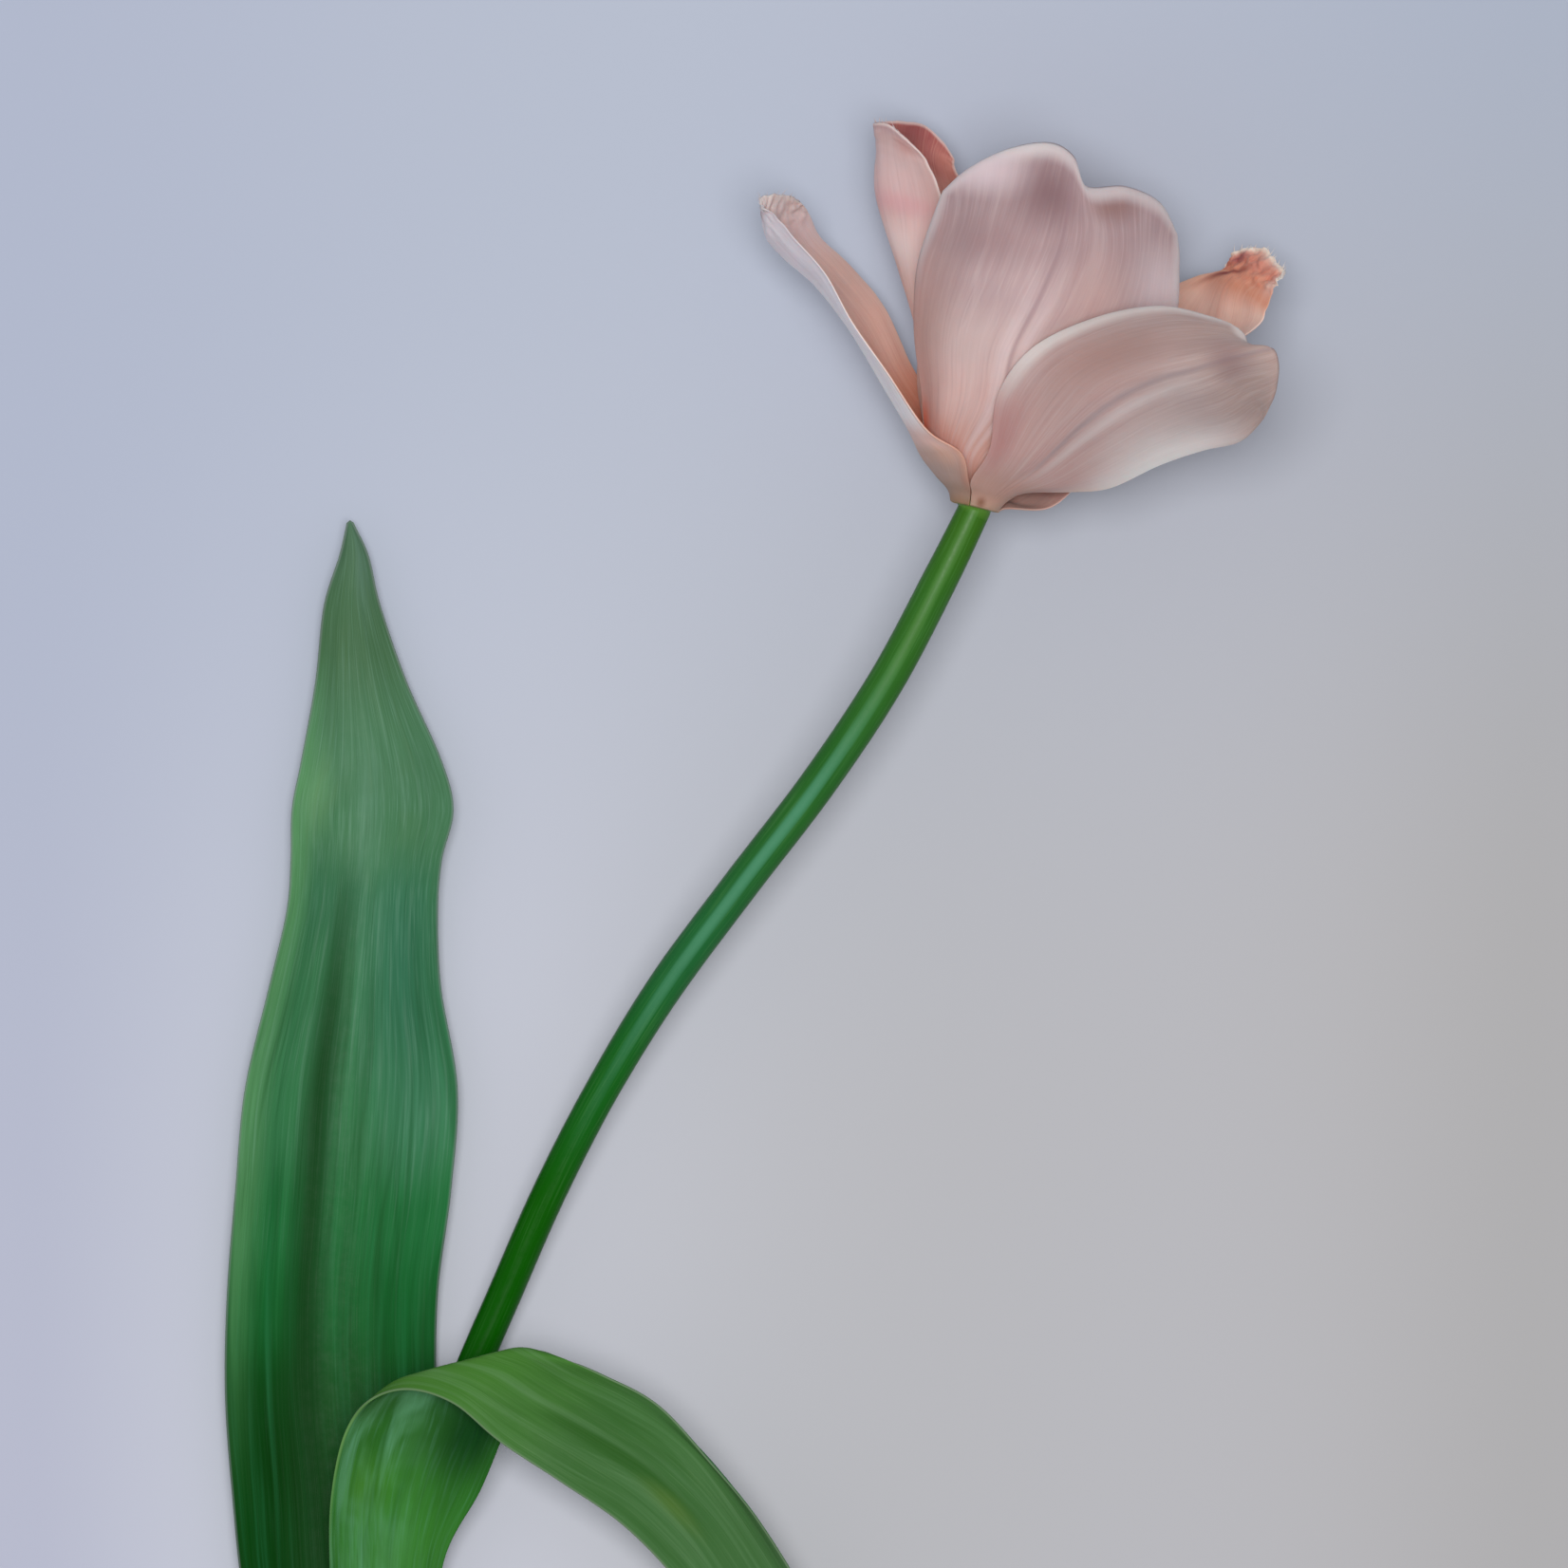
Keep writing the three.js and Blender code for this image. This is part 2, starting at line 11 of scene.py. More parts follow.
import bpy
import numpy as np
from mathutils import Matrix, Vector


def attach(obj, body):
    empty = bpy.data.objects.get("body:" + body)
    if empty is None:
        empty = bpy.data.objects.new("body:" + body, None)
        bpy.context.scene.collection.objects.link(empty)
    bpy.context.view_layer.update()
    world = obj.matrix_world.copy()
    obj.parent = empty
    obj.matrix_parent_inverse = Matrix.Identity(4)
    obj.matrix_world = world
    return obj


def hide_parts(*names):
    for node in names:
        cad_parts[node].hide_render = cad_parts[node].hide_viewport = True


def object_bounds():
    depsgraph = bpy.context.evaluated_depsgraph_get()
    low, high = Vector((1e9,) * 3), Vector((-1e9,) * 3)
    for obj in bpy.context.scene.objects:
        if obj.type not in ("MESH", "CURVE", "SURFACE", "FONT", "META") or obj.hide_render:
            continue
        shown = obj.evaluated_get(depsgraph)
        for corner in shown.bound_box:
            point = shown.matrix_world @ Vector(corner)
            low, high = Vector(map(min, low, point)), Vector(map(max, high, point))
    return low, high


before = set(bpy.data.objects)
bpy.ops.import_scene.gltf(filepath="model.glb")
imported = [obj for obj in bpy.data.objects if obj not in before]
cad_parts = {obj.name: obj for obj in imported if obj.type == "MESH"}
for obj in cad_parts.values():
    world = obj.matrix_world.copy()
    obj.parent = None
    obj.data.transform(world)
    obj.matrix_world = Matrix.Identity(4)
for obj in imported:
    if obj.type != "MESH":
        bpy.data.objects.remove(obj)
cad_low, cad_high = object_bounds()

MM = 0.001
DRAWING_ORIGIN = np.array([6.13, 57.57, 0.0])

# The foot of the bloom, the way it faces, the way to its side, and the way up from the floor.
BLOOM = np.array([37.4, 54.8, 34.0])
AXIS = np.array([0.225, 0.974, 0.0]) / math.hypot(0.225, 0.974)
ACROSS = np.array([0.974, -0.225, 0.0]) / math.hypot(0.225, 0.974)
UP = np.array([0.0, 0.0, 1.0])

# How far from the axis, and where along it, the inner and the outer petals start.
CLAW_INNER, CLAW_INNER_START = 2.85, 0.65
CLAW_OUTER, CLAW_OUTER_START = 4.45, -0.9
SHEATH_RADIUS, TALL_SHEATH_RADIUS = 4.6, 5
# The stem's radii at places along it from 0 to 1.
STEM_RADII = [(0, 3.7), (0.25, 3.4), (0.6, 3.35), (0.68, 3.6), (0.85, 3.62), (0.93, 3.5), (1, 3.2)]
STEM_STEPS = 420
# Which of the stem's last points are smoothed, counted from its end, and how often.
TURN_FROM, TURN_TO, TURN_ROUNDS = 40, 12, 12
SHOULDER_RADIUS, NECK_RADIUS, NECK_TOP = 3.9, 2.2, 2.8
CUT_END_BEVEL = (0.25, 0.07, 0.02)
# Where the stem ends under the bloom: places along the bloom's axis, and the radius at each.
SEAT = [
    (-1.1, 3.25), (-0.9, 3.5), (-0.75, 3.8), (-0.5, SHOULDER_RADIUS), (-0.1, SHOULDER_RADIUS),
    (0.08, SHOULDER_RADIUS - 0.12), (0.14, 3), (0.16, NECK_RADIUS + 0.05), (NECK_TOP - 0.4, NECK_RADIUS),
    (NECK_TOP - 0.1, NECK_RADIUS - 0.2), (NECK_TOP, NECK_RADIUS - 0.6),
]
# Along the axis, out from it, and how far three lobes swell and sink there.
PISTIL_PROFILE = [
    (3.1, 0.2, 0), (3.1, 1.5, 0), (3.4, 1.9, 0.02), (6, 2.5, 0.06), (10, 2.9, 0.09), (14, 2.8, 0.09),
    (17.5, 2.4, 0.08), (19.4, 2.1, 0.08), (20.6, 2.8, 0.2), (21.8, 4.2, 0.32), (22.8, 4.2, 0.34),
    (23.3, 3.3, 0.34), (22.9, 1.6, 0.2), (22.6, 0.15, 0.0),
]
PISTIL_STEPS, PISTIL_SIDES = 90, 60
FRILL_DEPTH, FRILL_COUNT = 0.035, 21
# A stamen's line along the bloom's axis and out from it, and its radii at places from 0 to 1.
STAMEN_PATH = [(2.5, 3.15), (6, 4.2), (12, 5.4), (18, 6.6), (25, 8)]
STAMEN_RADII = [(0, 0.25), (0.01, 0.4), (0.04, 0.55), (0.3, 0.62), (0.5, 0.45), (0.53, 0.5), (0.57, 0.95),
                (0.66, 1.2), (0.85, 1.2), (0.95, 0.85), (0.985, 0.55), (1, 0.25)]
STAMEN_STEPS, FIRST_STAMEN_DEG, ANTHER_LOBE = 70, 20, 0.24

PETAL_THICK, PETAL_EDGE = 0.8, 0.4
LEAF_THICK, LEAF_EDGE = 1.0, 0.5
# How far in from its margin a blade is rounded off, and where it reaches its full thickness.
MARGIN_ROUND, MARGIN_TAPER = 0.4, 5
FLOOR_GAP = 0.02
# How much closer a blade's lines lie at its margins, and at its tip.
MARGIN_CROWDING, TIP_CROWDING = 0.12, 0.7
SIDE_NOTCHES = 40
# Bristles stand on one line of a blade, counted from its tip, and point away from another one.
BRISTLE_LINE, BRISTLE_AIM, BRISTLE_SPREAD = -3, -12, 0.25
BUMP_DEPTH, ROUGHNESS_WANDER = 0.0002, 0.08
SCATTER_RADIUS, SCATTER_SCALE = (1.0, 0.45, 0.35), 0.002

CAMERA_HEIGHT, CAMERA_LENS, CAMERA_SENSOR = 3.0, 349.14, 36.0
FLOOR_REACH, FLOOR_LEVEL = 6.0, -0.0001
SKY_COLOUR, SKY_STRENGTH = (0.95, 0.97, 1.0, 1.0), 0.39
LIGHT_AIM = Vector((0.0, 0.0, 0.03))


# Lines and nets --------------------


def cup(along, out, deg):
    """A point of the bloom: along its axis, out from it, and round it (0 to the side, 90 up)."""
    a = math.radians(deg)
    return BLOOM + AXIS * along + ACROSS * (out * math.cos(a)) + UP * (out * math.sin(a))


def ring(along, out, first, last):
    """Five points on a ring of the bloom."""
    return [cup(along, out, first + (last - first) * k / 4) for k in range(5)]


def sheath(x, y, z, radius, first, last):
    """Five points on a ring round the stem's foot."""
    turns = [math.radians(first + (last - first) * k / 4) for k in range(5)]
    return [[x + radius * math.cos(a), y, z + radius * math.sin(a)] for a in turns]


def level(y, *places):
    """A row of points straight across the drawing, from pairs of x and z."""
    return [[x, y, z] for x, z in places]


def spline(points, t):
    """Points at t, 0 to 1, on the smooth line through the given points, or on one line for each t."""
    points = np.asarray(points, float)
    points = np.concatenate([[2 * points[0] - points[1]], points, [2 * points[-1] - points[-2]]])
    place = np.clip(t, 0, 1) * (len(points) - 3)
    first = np.minimum(place.astype(int), len(points) - 4)
    w = (place - first)[:, None]
    own = () if points.ndim == 2 else (np.arange(len(t)),)
    a, b, c, d = (points[(first + k, *own)] for k in range(4))
    leave, reach = 0.5 * (c - a), 0.5 * (d - b)
    bend = (2 * b - 2 * c + leave + reach) * w + (3 * c - 3 * b - 2 * leave - reach)
    return (bend * w + leave) * w + b


def surface(rows, along, across):
    """Points of a net of rows, at matching arrays of along (base to tip) and across (0 to 1)."""
    lines = np.stack([spline(row, across.ravel()) for row in rows])
    return spline(lines, along.ravel()).reshape(*along.shape, 3)


def smoothstep(x, low, high):
    x = np.clip((x - low) / (high - low), 0, 1)
    return x * x * (3 - 2 * x)


def ragged(rng, x, count, depth):
    """Uneven notches along x, 0 to 1: how far each place is cut back."""
    return np.interp(x, np.linspace(0, 1, count), rng.uniform(0, 1, count)) * depth



# The nets: rows from the base to the tip, each from one margin to the other.
INNER_FRONT = [
    ring(CLAW_INNER_START, CLAW_INNER, 150, 70),
    ring(2, 3.9, 152, 68),
    ring(4.2, 6.8, 156, 62),
    ring(9, 12.6, 158, 55),
    [[26.6, 77.2, 45], [32.4, 75.4, 52.5], [41.2, 73.4, 55], [50.9, 71.2, 52], [58.3, 69.5, 44]],
    [[25.3, 88.2, 44], [33, 86.6, 55.5], [44, 84.2, 60], [56.8, 81.1, 54.5], [67.5, 78.6, 43]],
    [[25.9, 100.4, 45], [36.6, 98.1, 58], [49.5, 95.4, 62], [63.4, 91.9, 55], [75.6, 89.1, 42]],
    [[28.9, 110, 47], [40.1, 108.5, 58], [53.5, 106.4, 60], [66.5, 104, 54], [76.8, 101, 43]],
    [[30.9, 115.2, 49], [36, 119.6, 52.5], [43.5, 123.1, 55.5], [51.4, 124.3, 57.5], [56.1, 121.5, 58.5],
     [58.4, 115.8, 58], [66, 115.9, 54.5], [72.8, 113, 50], [76.2, 107, 45]],
]
OUTER_FRONT = [
    ring(CLAW_OUTER_START, CLAW_OUTER, 103, 6),
    ring(1.8, 6, 103, 8),
    ring(4.2, 9.4, 102, 10),
    [[39.9, 65.2, 51.5], [43.7, 63.6, 51], [48.8, 61.4, 48], [53, 58.8, 44], [56.1, 56.9, 39]],
    [[41.4, 75.6, 58], [49.3, 73.6, 60.5], [57.5, 69.5, 61], [61.5, 63, 53], [63.5, 57.6, 42]],
    [[48.2, 84.5, 62.2], [56, 80.8, 65.5], [64.8, 74.8, 67.5], [69.9, 67.8, 58.5], [73.1, 62, 45]],
    [[60.5, 90.2, 63.2], [66.6, 85, 69], [72.1, 78.1, 71.5], [77.9, 71, 62.5], [81.4, 64.8, 49]],
    [[72.3, 92.2, 64], [76.3, 87, 70.5], [79.5, 80, 74], [84.6, 72.9, 66.5], [88.2, 66.4, 54]],
    [[81.5, 90.2, 67], [84.2, 86.6, 72], [86, 82, 75.5], [89.6, 75.6, 69.5], [92, 69.7, 60]],
    [[86, 88.2, 69.5], [88.8, 86.5, 71.5], [89.8, 84, 73.5], [91.7, 83.6, 75], [94.2, 83.8, 76],
     [95.2, 81, 75.4], [95.2, 78, 73.4], [94.7, 75, 70.5], [93.2, 71.6, 65.5]],
]
OUTER_LEFT = [
    ring(CLAW_OUTER_START, CLAW_OUTER, 106, 230),
    ring(1.6, 5.7, 105, 229),
    ring(4.1, 9.1, 106, 229),
    [[34.4, 64.3, 47.6], [29.8, 64.3, 44.4], [26.9, 64.5, 34], [28.3, 66, 25.5], [31.8, 68, 20.8]],
    [[27.6, 68.8, 50.2], [25.3, 69.4, 43], [24.2, 70.2, 33.5], [25.8, 72, 23.5], [29.5, 74.5, 17]],
    [[20.1, 79.6, 53.6], [19.7, 78.8, 45], [19.4, 78.5, 33], [20.7, 80, 22.5], [24.9, 82.4, 14.5]],
    [[13.2, 89.4, 54.6], [13.4, 88.7, 45.5], [13.3, 88.5, 33.5], [15.2, 90.2, 22.5], [19.8, 93.6, 13]],
    [[8, 98.8, 54.8], [7.2, 97.9, 46], [6.5, 97.1, 35], [8.4, 98.8, 23.5], [13, 101.8, 14.5]],
    [[2.2, 105.6, 52], [1, 104.2, 46], [-0.1, 102.9, 37], [2.7, 104.9, 27], [7.2, 107.2, 19]],
    [[-1.6, 110.3, 48], [-3, 109, 44.5], [-3.6, 108, 39], [0.2, 110, 31], [4.8, 111.8, 26]],
    [[-4.4, 111.5, 44.5], [-4.8, 114.2, 42], [-2, 115.2, 39.5], [1, 115, 36], [3.4, 113.6, 31]],
]
INNER_BACK = [
    ring(CLAW_INNER_START, CLAW_INNER, 190, 270),
    ring(2, 3.9, 188, 272),
    ring(4.2, 6.8, 185, 275),
    ring(9, 11.8, 182, 285),
    [[27.1, 76.7, 35], [26.6, 76.8, 28], [29.5, 76.1, 21], [37.3, 74.3, 16], [45.5, 72, 15.5]],
    [[28.6, 87.6, 37], [26.1, 88.2, 28], [28.6, 87.6, 18], [37.3, 85.4, 11], [47, 82.7, 9]],
    [[28.6, 100, 39], [22.7, 101.4, 28], [25.2, 100.8, 17], [35.2, 98.4, 9], [46.9, 95.7, 6]],
    [[31, 112, 40.5], [18.9, 115.2, 29], [21.6, 113.9, 20], [30, 111.9, 13.5], [40.8, 109.4, 10]],
    [[27.9, 121, 40.5], [18.7, 124, 31], [21.6, 123.2, 25], [27.7, 122.5, 18], [34.2, 119.5, 17]],
    [[24, 125.5, 39.5], [20.5, 128.6, 38], [17.6, 129, 34], [20, 129.5, 30], [24.3, 129.8, 26],
     [27.8, 128.9, 22.5], [31.3, 126, 20], [33.4, 122.6, 18.5]],
]
INNER_RIGHT = [
    ring(CLAW_INNER_START, CLAW_INNER, 305, 385),
    ring(2, 3.9, 303, 387),
    ring(4.2, 7, 300, 390),
    ring(9, 13, 295, 395),
    [[48.8, 70.6, 13.5], [58, 68.5, 18.5], [64, 67.1, 28], [64.8, 67, 38], [61.4, 67.7, 46.5]],
    [[53.9, 81.8, 9], [66.5, 78.8, 15], [74.3, 77, 26], [76.3, 76.5, 38], [72.4, 77.4, 47]],
    [[63.4, 91.9, 10], [76.1, 89, 15], [83.4, 87.3, 26], [88.3, 87.6, 34], [90.8, 88, 42]],
    [[80.4, 99.4, 14], [83.5, 98.6, 19], [86.5, 97, 26.5], [90.5, 95, 33], [94, 92.5, 39.5]],
    [[85.5, 100, 19], [87.6, 100.8, 23], [90, 100.3, 28], [92.8, 98, 33], [95.6, 96.5, 37.5]],
    [[86.8, 102.3, 21], [88.2, 104.4, 23], [90.9, 105.2, 25.5], [94.2, 104.8, 28], [95.8, 103, 31],
     [97.8, 100.8, 34], [96.4, 98.4, 36.5]],
]
OUTER_UNDER = [
    ring(CLAW_OUTER_START, CLAW_OUTER, 358, 238),
    [cup(0.3, 6.3, 356), cup(1.2, 6.1, 327), cup(1.8, 6, 298), cup(1.8, 6, 269), cup(1.8, 6, 240)],
    [[51.6, 53.8, 33.5], [46.6, 54.6, 28], [41.7, 57, 25.4], [37.6, 58.9, 24.9], [34.4, 60, 25.9]],
    [[57.4, 58.4, 31], [53, 60, 23], [48, 61.6, 18.5], [42, 63.2, 17.6], [35.8, 64.4, 19]],
    [[65.3, 66.8, 22.6], [58.4, 68.4, 14.7], [49, 70.6, 10.2], [41.5, 72.3, 9.5], [34.2, 74, 11.2]],
    [[72, 77.6, 17.5], [64.2, 79.4, 9.5], [53.4, 81.9, 4.5], [44.2, 84, 3.5], [34, 86.3, 5.3]],
    [[74.2, 85.3, 9.5], [65.7, 88.3, 3], [56.3, 92.4, 0.45], [46.6, 94.7, 0.45], [37, 97, 2.5]],
    [[71.1, 98.3, 7], [65, 100, 2], [57.4, 101.5, 0.45], [49, 103.5, 0.45], [40.9, 105.3, 2.5]],
    [[68.5, 103, 6.5], [64, 107.3, 4], [58.5, 109.3, 2.5], [52, 110.5, 2.2], [46, 109, 3]],
]
TALL = [
    sheath(-81.8, -226, 5.5, TALL_SHEATH_RADIUS, 190, 350),
    level(-216, (-88.2, 5.4), (-85.6, 1.9), (-81.6, 0.5), (-77.6, 1.7), (-75.2, 5)),
    level(-200, (-95.5, 5.6), (-90.5, 1.6), (-84, 0.5), (-78, 0.5), (-72.5, 2.5)),
    level(-180, (-101.8, 6.5), (-94, 2.2), (-85.5, 0.5), (-77.5, 0.5), (-70, 1.5)),
    level(-160, (-106.4, 7.5), (-97.5, 2.6), (-87.5, 0.5), (-77.5, 0.5), (-68, 1.2)),
    level(-140, (-108.6, 8), (-99, 2.8), (-89, 0.5), (-78.5, 0.5), (-67.5, 1.2)),
    level(-120, (-110, 8), (-100.5, 2.8), (-90.5, 0.5), (-80, 0.8), (-68.5, 3)),
    level(-100, (-109.6, 8), (-100.3, 2.8), (-90.5, 0.5), (-80, 1.6), (-68.1, 6)),
    level(-80, (-108, 8), (-98.8, 2.8), (-89, 0.5), (-78, 1.8), (-65.5, 7)),
    level(-60, (-106.1, 7.5), (-97.2, 2.6), (-87.5, 0.5), (-76.6, 2.2), (-64.2, 8)),
    level(-40, (-101.4, 7), (-93.7, 2.4), (-85.5, 0.6), (-77, 2), (-67.5, 6.5)),
    level(-25, (-97.9, 7), (-91.2, 2.6), (-84, 1), (-76.6, 2.4), (-68.1, 7)),
    level(-15, (-97.1, 7), (-90.3, 3), (-83, 1.5), (-75.6, 3), (-67.3, 8)),
    level(-5, (-96.9, 6.5), (-89.8, 3.2), (-82.5, 2), (-74.3, 3.8), (-65, 9)),
    level(5, (-95, 6), (-88.8, 3.4), (-82.5, 2.5), (-75.5, 3.8), (-67.5, 8)),
    level(20, (-92.3, 6), (-88, 3.6), (-84, 3), (-79.4, 3.8), (-74.2, 6.5)),
    level(35, (-90.6, 6.5), (-87.4, 4.6), (-85, 4), (-82.3, 4.6), (-79.4, 6.5)),
    [[-87.5, 45, 7], [-86.2, 45.2, 5.9], [-84.6, 45.3, 5.5], [-83.3, 45.2, 5.9], [-81.8, 45, 7]],
    [[-86, 51.4, 7.2], [-85.7, 51.7, 7], [-85.4, 51.9, 7], [-85.1, 51.7, 7], [-84.8, 51.4, 7.2]],
]
FOLDED = [
    sheath(-80.7, -206, 5.4, SHEATH_RADIUS, 170, 10),
    level(-192, (-86, 7), (-83.2, 10.6), (-79.2, 12), (-75, 10.6), (-72.3, 7)),
    [[-88, -175, 8], [-84, -174.5, 12.2], [-77.5, -174, 14], [-72.5, -174, 12.6], [-69.6, -174, 9]],
    [[-89.3, -154, 9.5], [-84.8, -153.5, 14], [-77.5, -153, 16.5], [-71, -152.5, 15], [-66.8, -152.5, 12]],
    [[-89, -140, 11.5], [-84, -138.5, 16], [-75.5, -137, 19.5], [-66.5, -136.5, 19.5], [-59.5, -138.5, 17.5]],
    [[-86.3, -127.5, 15.5], [-81.2, -125.8, 18.5], [-72, -125, 22.5], [-62, -126, 24.5],
     [-54.5, -126.5, 23.5]],
    [[-81.4, -120.9, 23.5], [-77, -118.2, 24.5], [-68.5, -116.5, 28], [-59, -116.5, 30.5], [-50.5, -118, 30]],
    [[-73.6, -118.3, 31.5], [-70, -115.2, 31], [-62, -112.8, 34.5], [-54, -110.7, 37], [-48.5, -111, 37.5]],
    [[-64.5, -120.8, 36], [-61.2, -117.4, 36], [-54.5, -113.8, 38], [-48.5, -111.3, 40.5],
     [-43, -111.8, 41.5]],
    [[-55.5, -128.2, 36], [-51.5, -124, 36.6], [-46, -119, 38], [-40.5, -115.3, 40.3], [-34.8, -115.1, 43]],
    [[-44, -135.8, 36], [-39.5, -131, 36.2], [-34.5, -125.8, 37.5], [-29.3, -121, 39.8], [-24.2, -121, 42]],
    [[-32, -144.2, 33], [-27.5, -139, 33], [-22.5, -134, 34.2], [-17.8, -129.6, 36], [-14.2, -132.2, 38]],
    [[-22, -154.5, 27.5], [-17.5, -149.5, 27], [-12.5, -145, 28], [-8.5, -141.5, 29.5], [-4.8, -144, 31.5]],
    [[-12, -168, 19], [-7.5, -164.5, 18.6], [-3, -161, 19.4], [1.5, -158.5, 20.6], [5, -160.5, 22]],
    [[-2, -182, 10.5], [2.5, -179.5, 10.2], [6, -177.5, 10.6], [9.5, -176, 11.4], [12.5, -178, 12.5]],
    [[9, -194, 3.6], [11.5, -192.5, 3.6], [13.8, -191.5, 3.8], [16, -191, 4.2], [17.8, -192, 4.6]],
    [[19.3, -204.4, 0.5], [19.9, -204.6, 0.5], [20.5, -204.8, 0.5], [21.1, -204.6, 0.5], [21.7, -204.4, 0.5]],
]
STEM_LINE = [
    [-82.2, -245, 4.3], [-81.8, -225, 5], [-80.6, -205, 5.2], [-77.6, -180, 5.4], [-73.2, -153, 5.9],
    [-68.8, -136, 6.6], [-62.5, -118, 8], [-54.8, -100, 10], [-46, -80, 13], [-35.7, -60, 16.5],
    [-23.45, -40, 20.5], [-8.7, -20, 24.5], [6.6, 0, 28], [19.9, 20, 31], [30.5, 40, 33.2], [37.1, 53.4, 34],
]


# Meshes --------------------


def metres(points):
    """Drawing points in the part's own frame."""
    return (np.asarray(points, float) + DRAWING_ORIGIN) * MM


def new_mesh(name, points, faces, edges=(), **values):
    """A mesh in metres, with a value or a vector at each point for every other name given."""
    mesh = bpy.data.meshes.new(name)
    mesh.from_pydata([tuple(p) for p in points], list(edges), faces)
    for key, value in values.items():
        value = np.asarray(value, np.float32)
        kind, field = ("FLOAT", "value") if value.ndim == 1 else ("FLOAT_VECTOR", "vector")
        mesh.attributes.new(key, kind, "POINT").data.foreach_set(field, value.ravel())
    mesh.update()
    return mesh


def lengths(points, axis):
    """How far each point lies along its line, in mm."""
    steps = np.linalg.norm(np.diff(points, axis=axis), axis=2)
    start = np.zeros_like(np.take(steps, [0], axis=axis))
    return np.cumsum(np.concatenate([start, steps], axis=axis), axis=axis)


def quads(grid):
    corners = [grid[:-1, :-1], grid[1:, :-1], grid[1:, 1:], grid[:-1, 1:]]
    return np.stack(corners, -1).reshape(-1, 4)


def blade_mesh(name, rows, plus_inner, columns, lines, thick, edge, seed, teeth=(2, 0.0), side=0.0,
               bristles=0, bristle_span=(0.1, 0.9)):
    """A thin closed blade with fine rounded margins. Its points know where they lie on it.

    plus_inner says that the side of the net's own normal is the inner face. teeth are the number
    and depth of the notches in the tip, and side the depth of those in both long margins.
    Loose points at the tip are the roots of bristles.
    """
    rng = np.random.default_rng(seed)
    x, y = np.linspace(0, 1, columns + 1), np.linspace(0, 1, lines + 1)
    across = x - MARGIN_CROWDING * np.sin(2 * np.pi * x)
    along = y + TIP_CROWDING * (y - y * y)
    cut = ragged(rng, across, *teeth)
    left, right = (ragged(rng, along, SIDE_NOTCHES, side) * smoothstep(along, 0.3, 0.7) for _ in range(2))
    u = along[:, None] * (1 - cut[None, :])
    v = left[:, None] + (1 - left - right)[:, None] * across[None, :]
    middle = surface(rows, u, v)
    over, up = lengths(middle, 1), lengths(middle, 0)
    from_edge = np.minimum(np.minimum(over, over[:, -1:] - over), up[-1:] - up)
    nearest = np.minimum(from_edge, up)
    round_off = np.sqrt(1 - (1 - np.clip(nearest / MARGIN_ROUND, 0, 1)) ** 2)
    half = (edge + (thick - edge) * smoothstep(from_edge, 0, MARGIN_TAPER)) * round_off / 2
    middle[..., 2] = np.maximum(middle[..., 2], half + FLOOR_GAP)
    normal = np.cross(np.gradient(middle, axis=0), np.gradient(middle, axis=1))
    normal /= np.linalg.norm(normal, axis=2, keepdims=True) + 1e-12
    plus, minus = middle + normal * half[..., None], middle - normal * half[..., None]

    # The two faces share the points of the margin.
    count = middle.shape[0] * middle.shape[1]
    top = np.arange(count).reshape(middle.shape[:2])
    inside = top[1:-1, 1:-1]
    bottom = top.copy()
    bottom[1:-1, 1:-1] = count + np.arange(inside.size).reshape(inside.shape)
    faces = np.concatenate([quads(top), quads(bottom)[:, ::-1]]).tolist()

    def both(a, b=None):
        b = a if b is None else b
        return np.concatenate([a.reshape(count, *a.shape[2:]),
                               b[1:-1, 1:-1].reshape(inside.size, *b.shape[2:])])

    face_side = np.full(middle.shape[:2], 0.5)
    face_side[1:-1, 1:-1] = 1.0 if plus_inner else 0.0
    values = {
        "across": both(v), "along": both(u), "from_edge": both(from_edge) * MM,
        "inner": both(face_side, 1 - face_side), "lift": both(normal), "root": np.zeros(count + inside.size),
    }
    points = metres(both(plus, minus))
    if bristles:
        span = np.linspace(*bristle_span, bristles) + rng.uniform(-0.5, 0.5, bristles) / bristles
        ends = np.interp(span, x, np.arange(columns + 1)).astype(int)
        roots = middle[BRISTLE_LINE, ends]
        lie = roots - middle[BRISTLE_AIM, ends]
        lie /= np.linalg.norm(lie, axis=1, keepdims=True)
        lie += rng.normal(0, BRISTLE_SPREAD, lie.shape)
        points = np.concatenate([points, metres(roots)])
        extra = {"across": span, "along": np.ones(bristles), "from_edge": np.zeros(bristles),
                 "inner": np.full(bristles, 0.5), "lift": lie, "root": np.ones(bristles)}
        values = {key: np.concatenate([value, extra[key]]) for key, value in values.items()}
    return new_mesh(name, points, faces, **values)


def line_mesh(name, points, thickness, lobe):
    """A line of points for a stalk to be swept along, with its radius in mm at each."""
    edges = [(i, i + 1) for i in range(len(points) - 1)]
    return new_mesh(name, metres(points), [], edges, thickness=np.asarray(thickness) * MM, lobe=lobe)


# Node trees --------------------


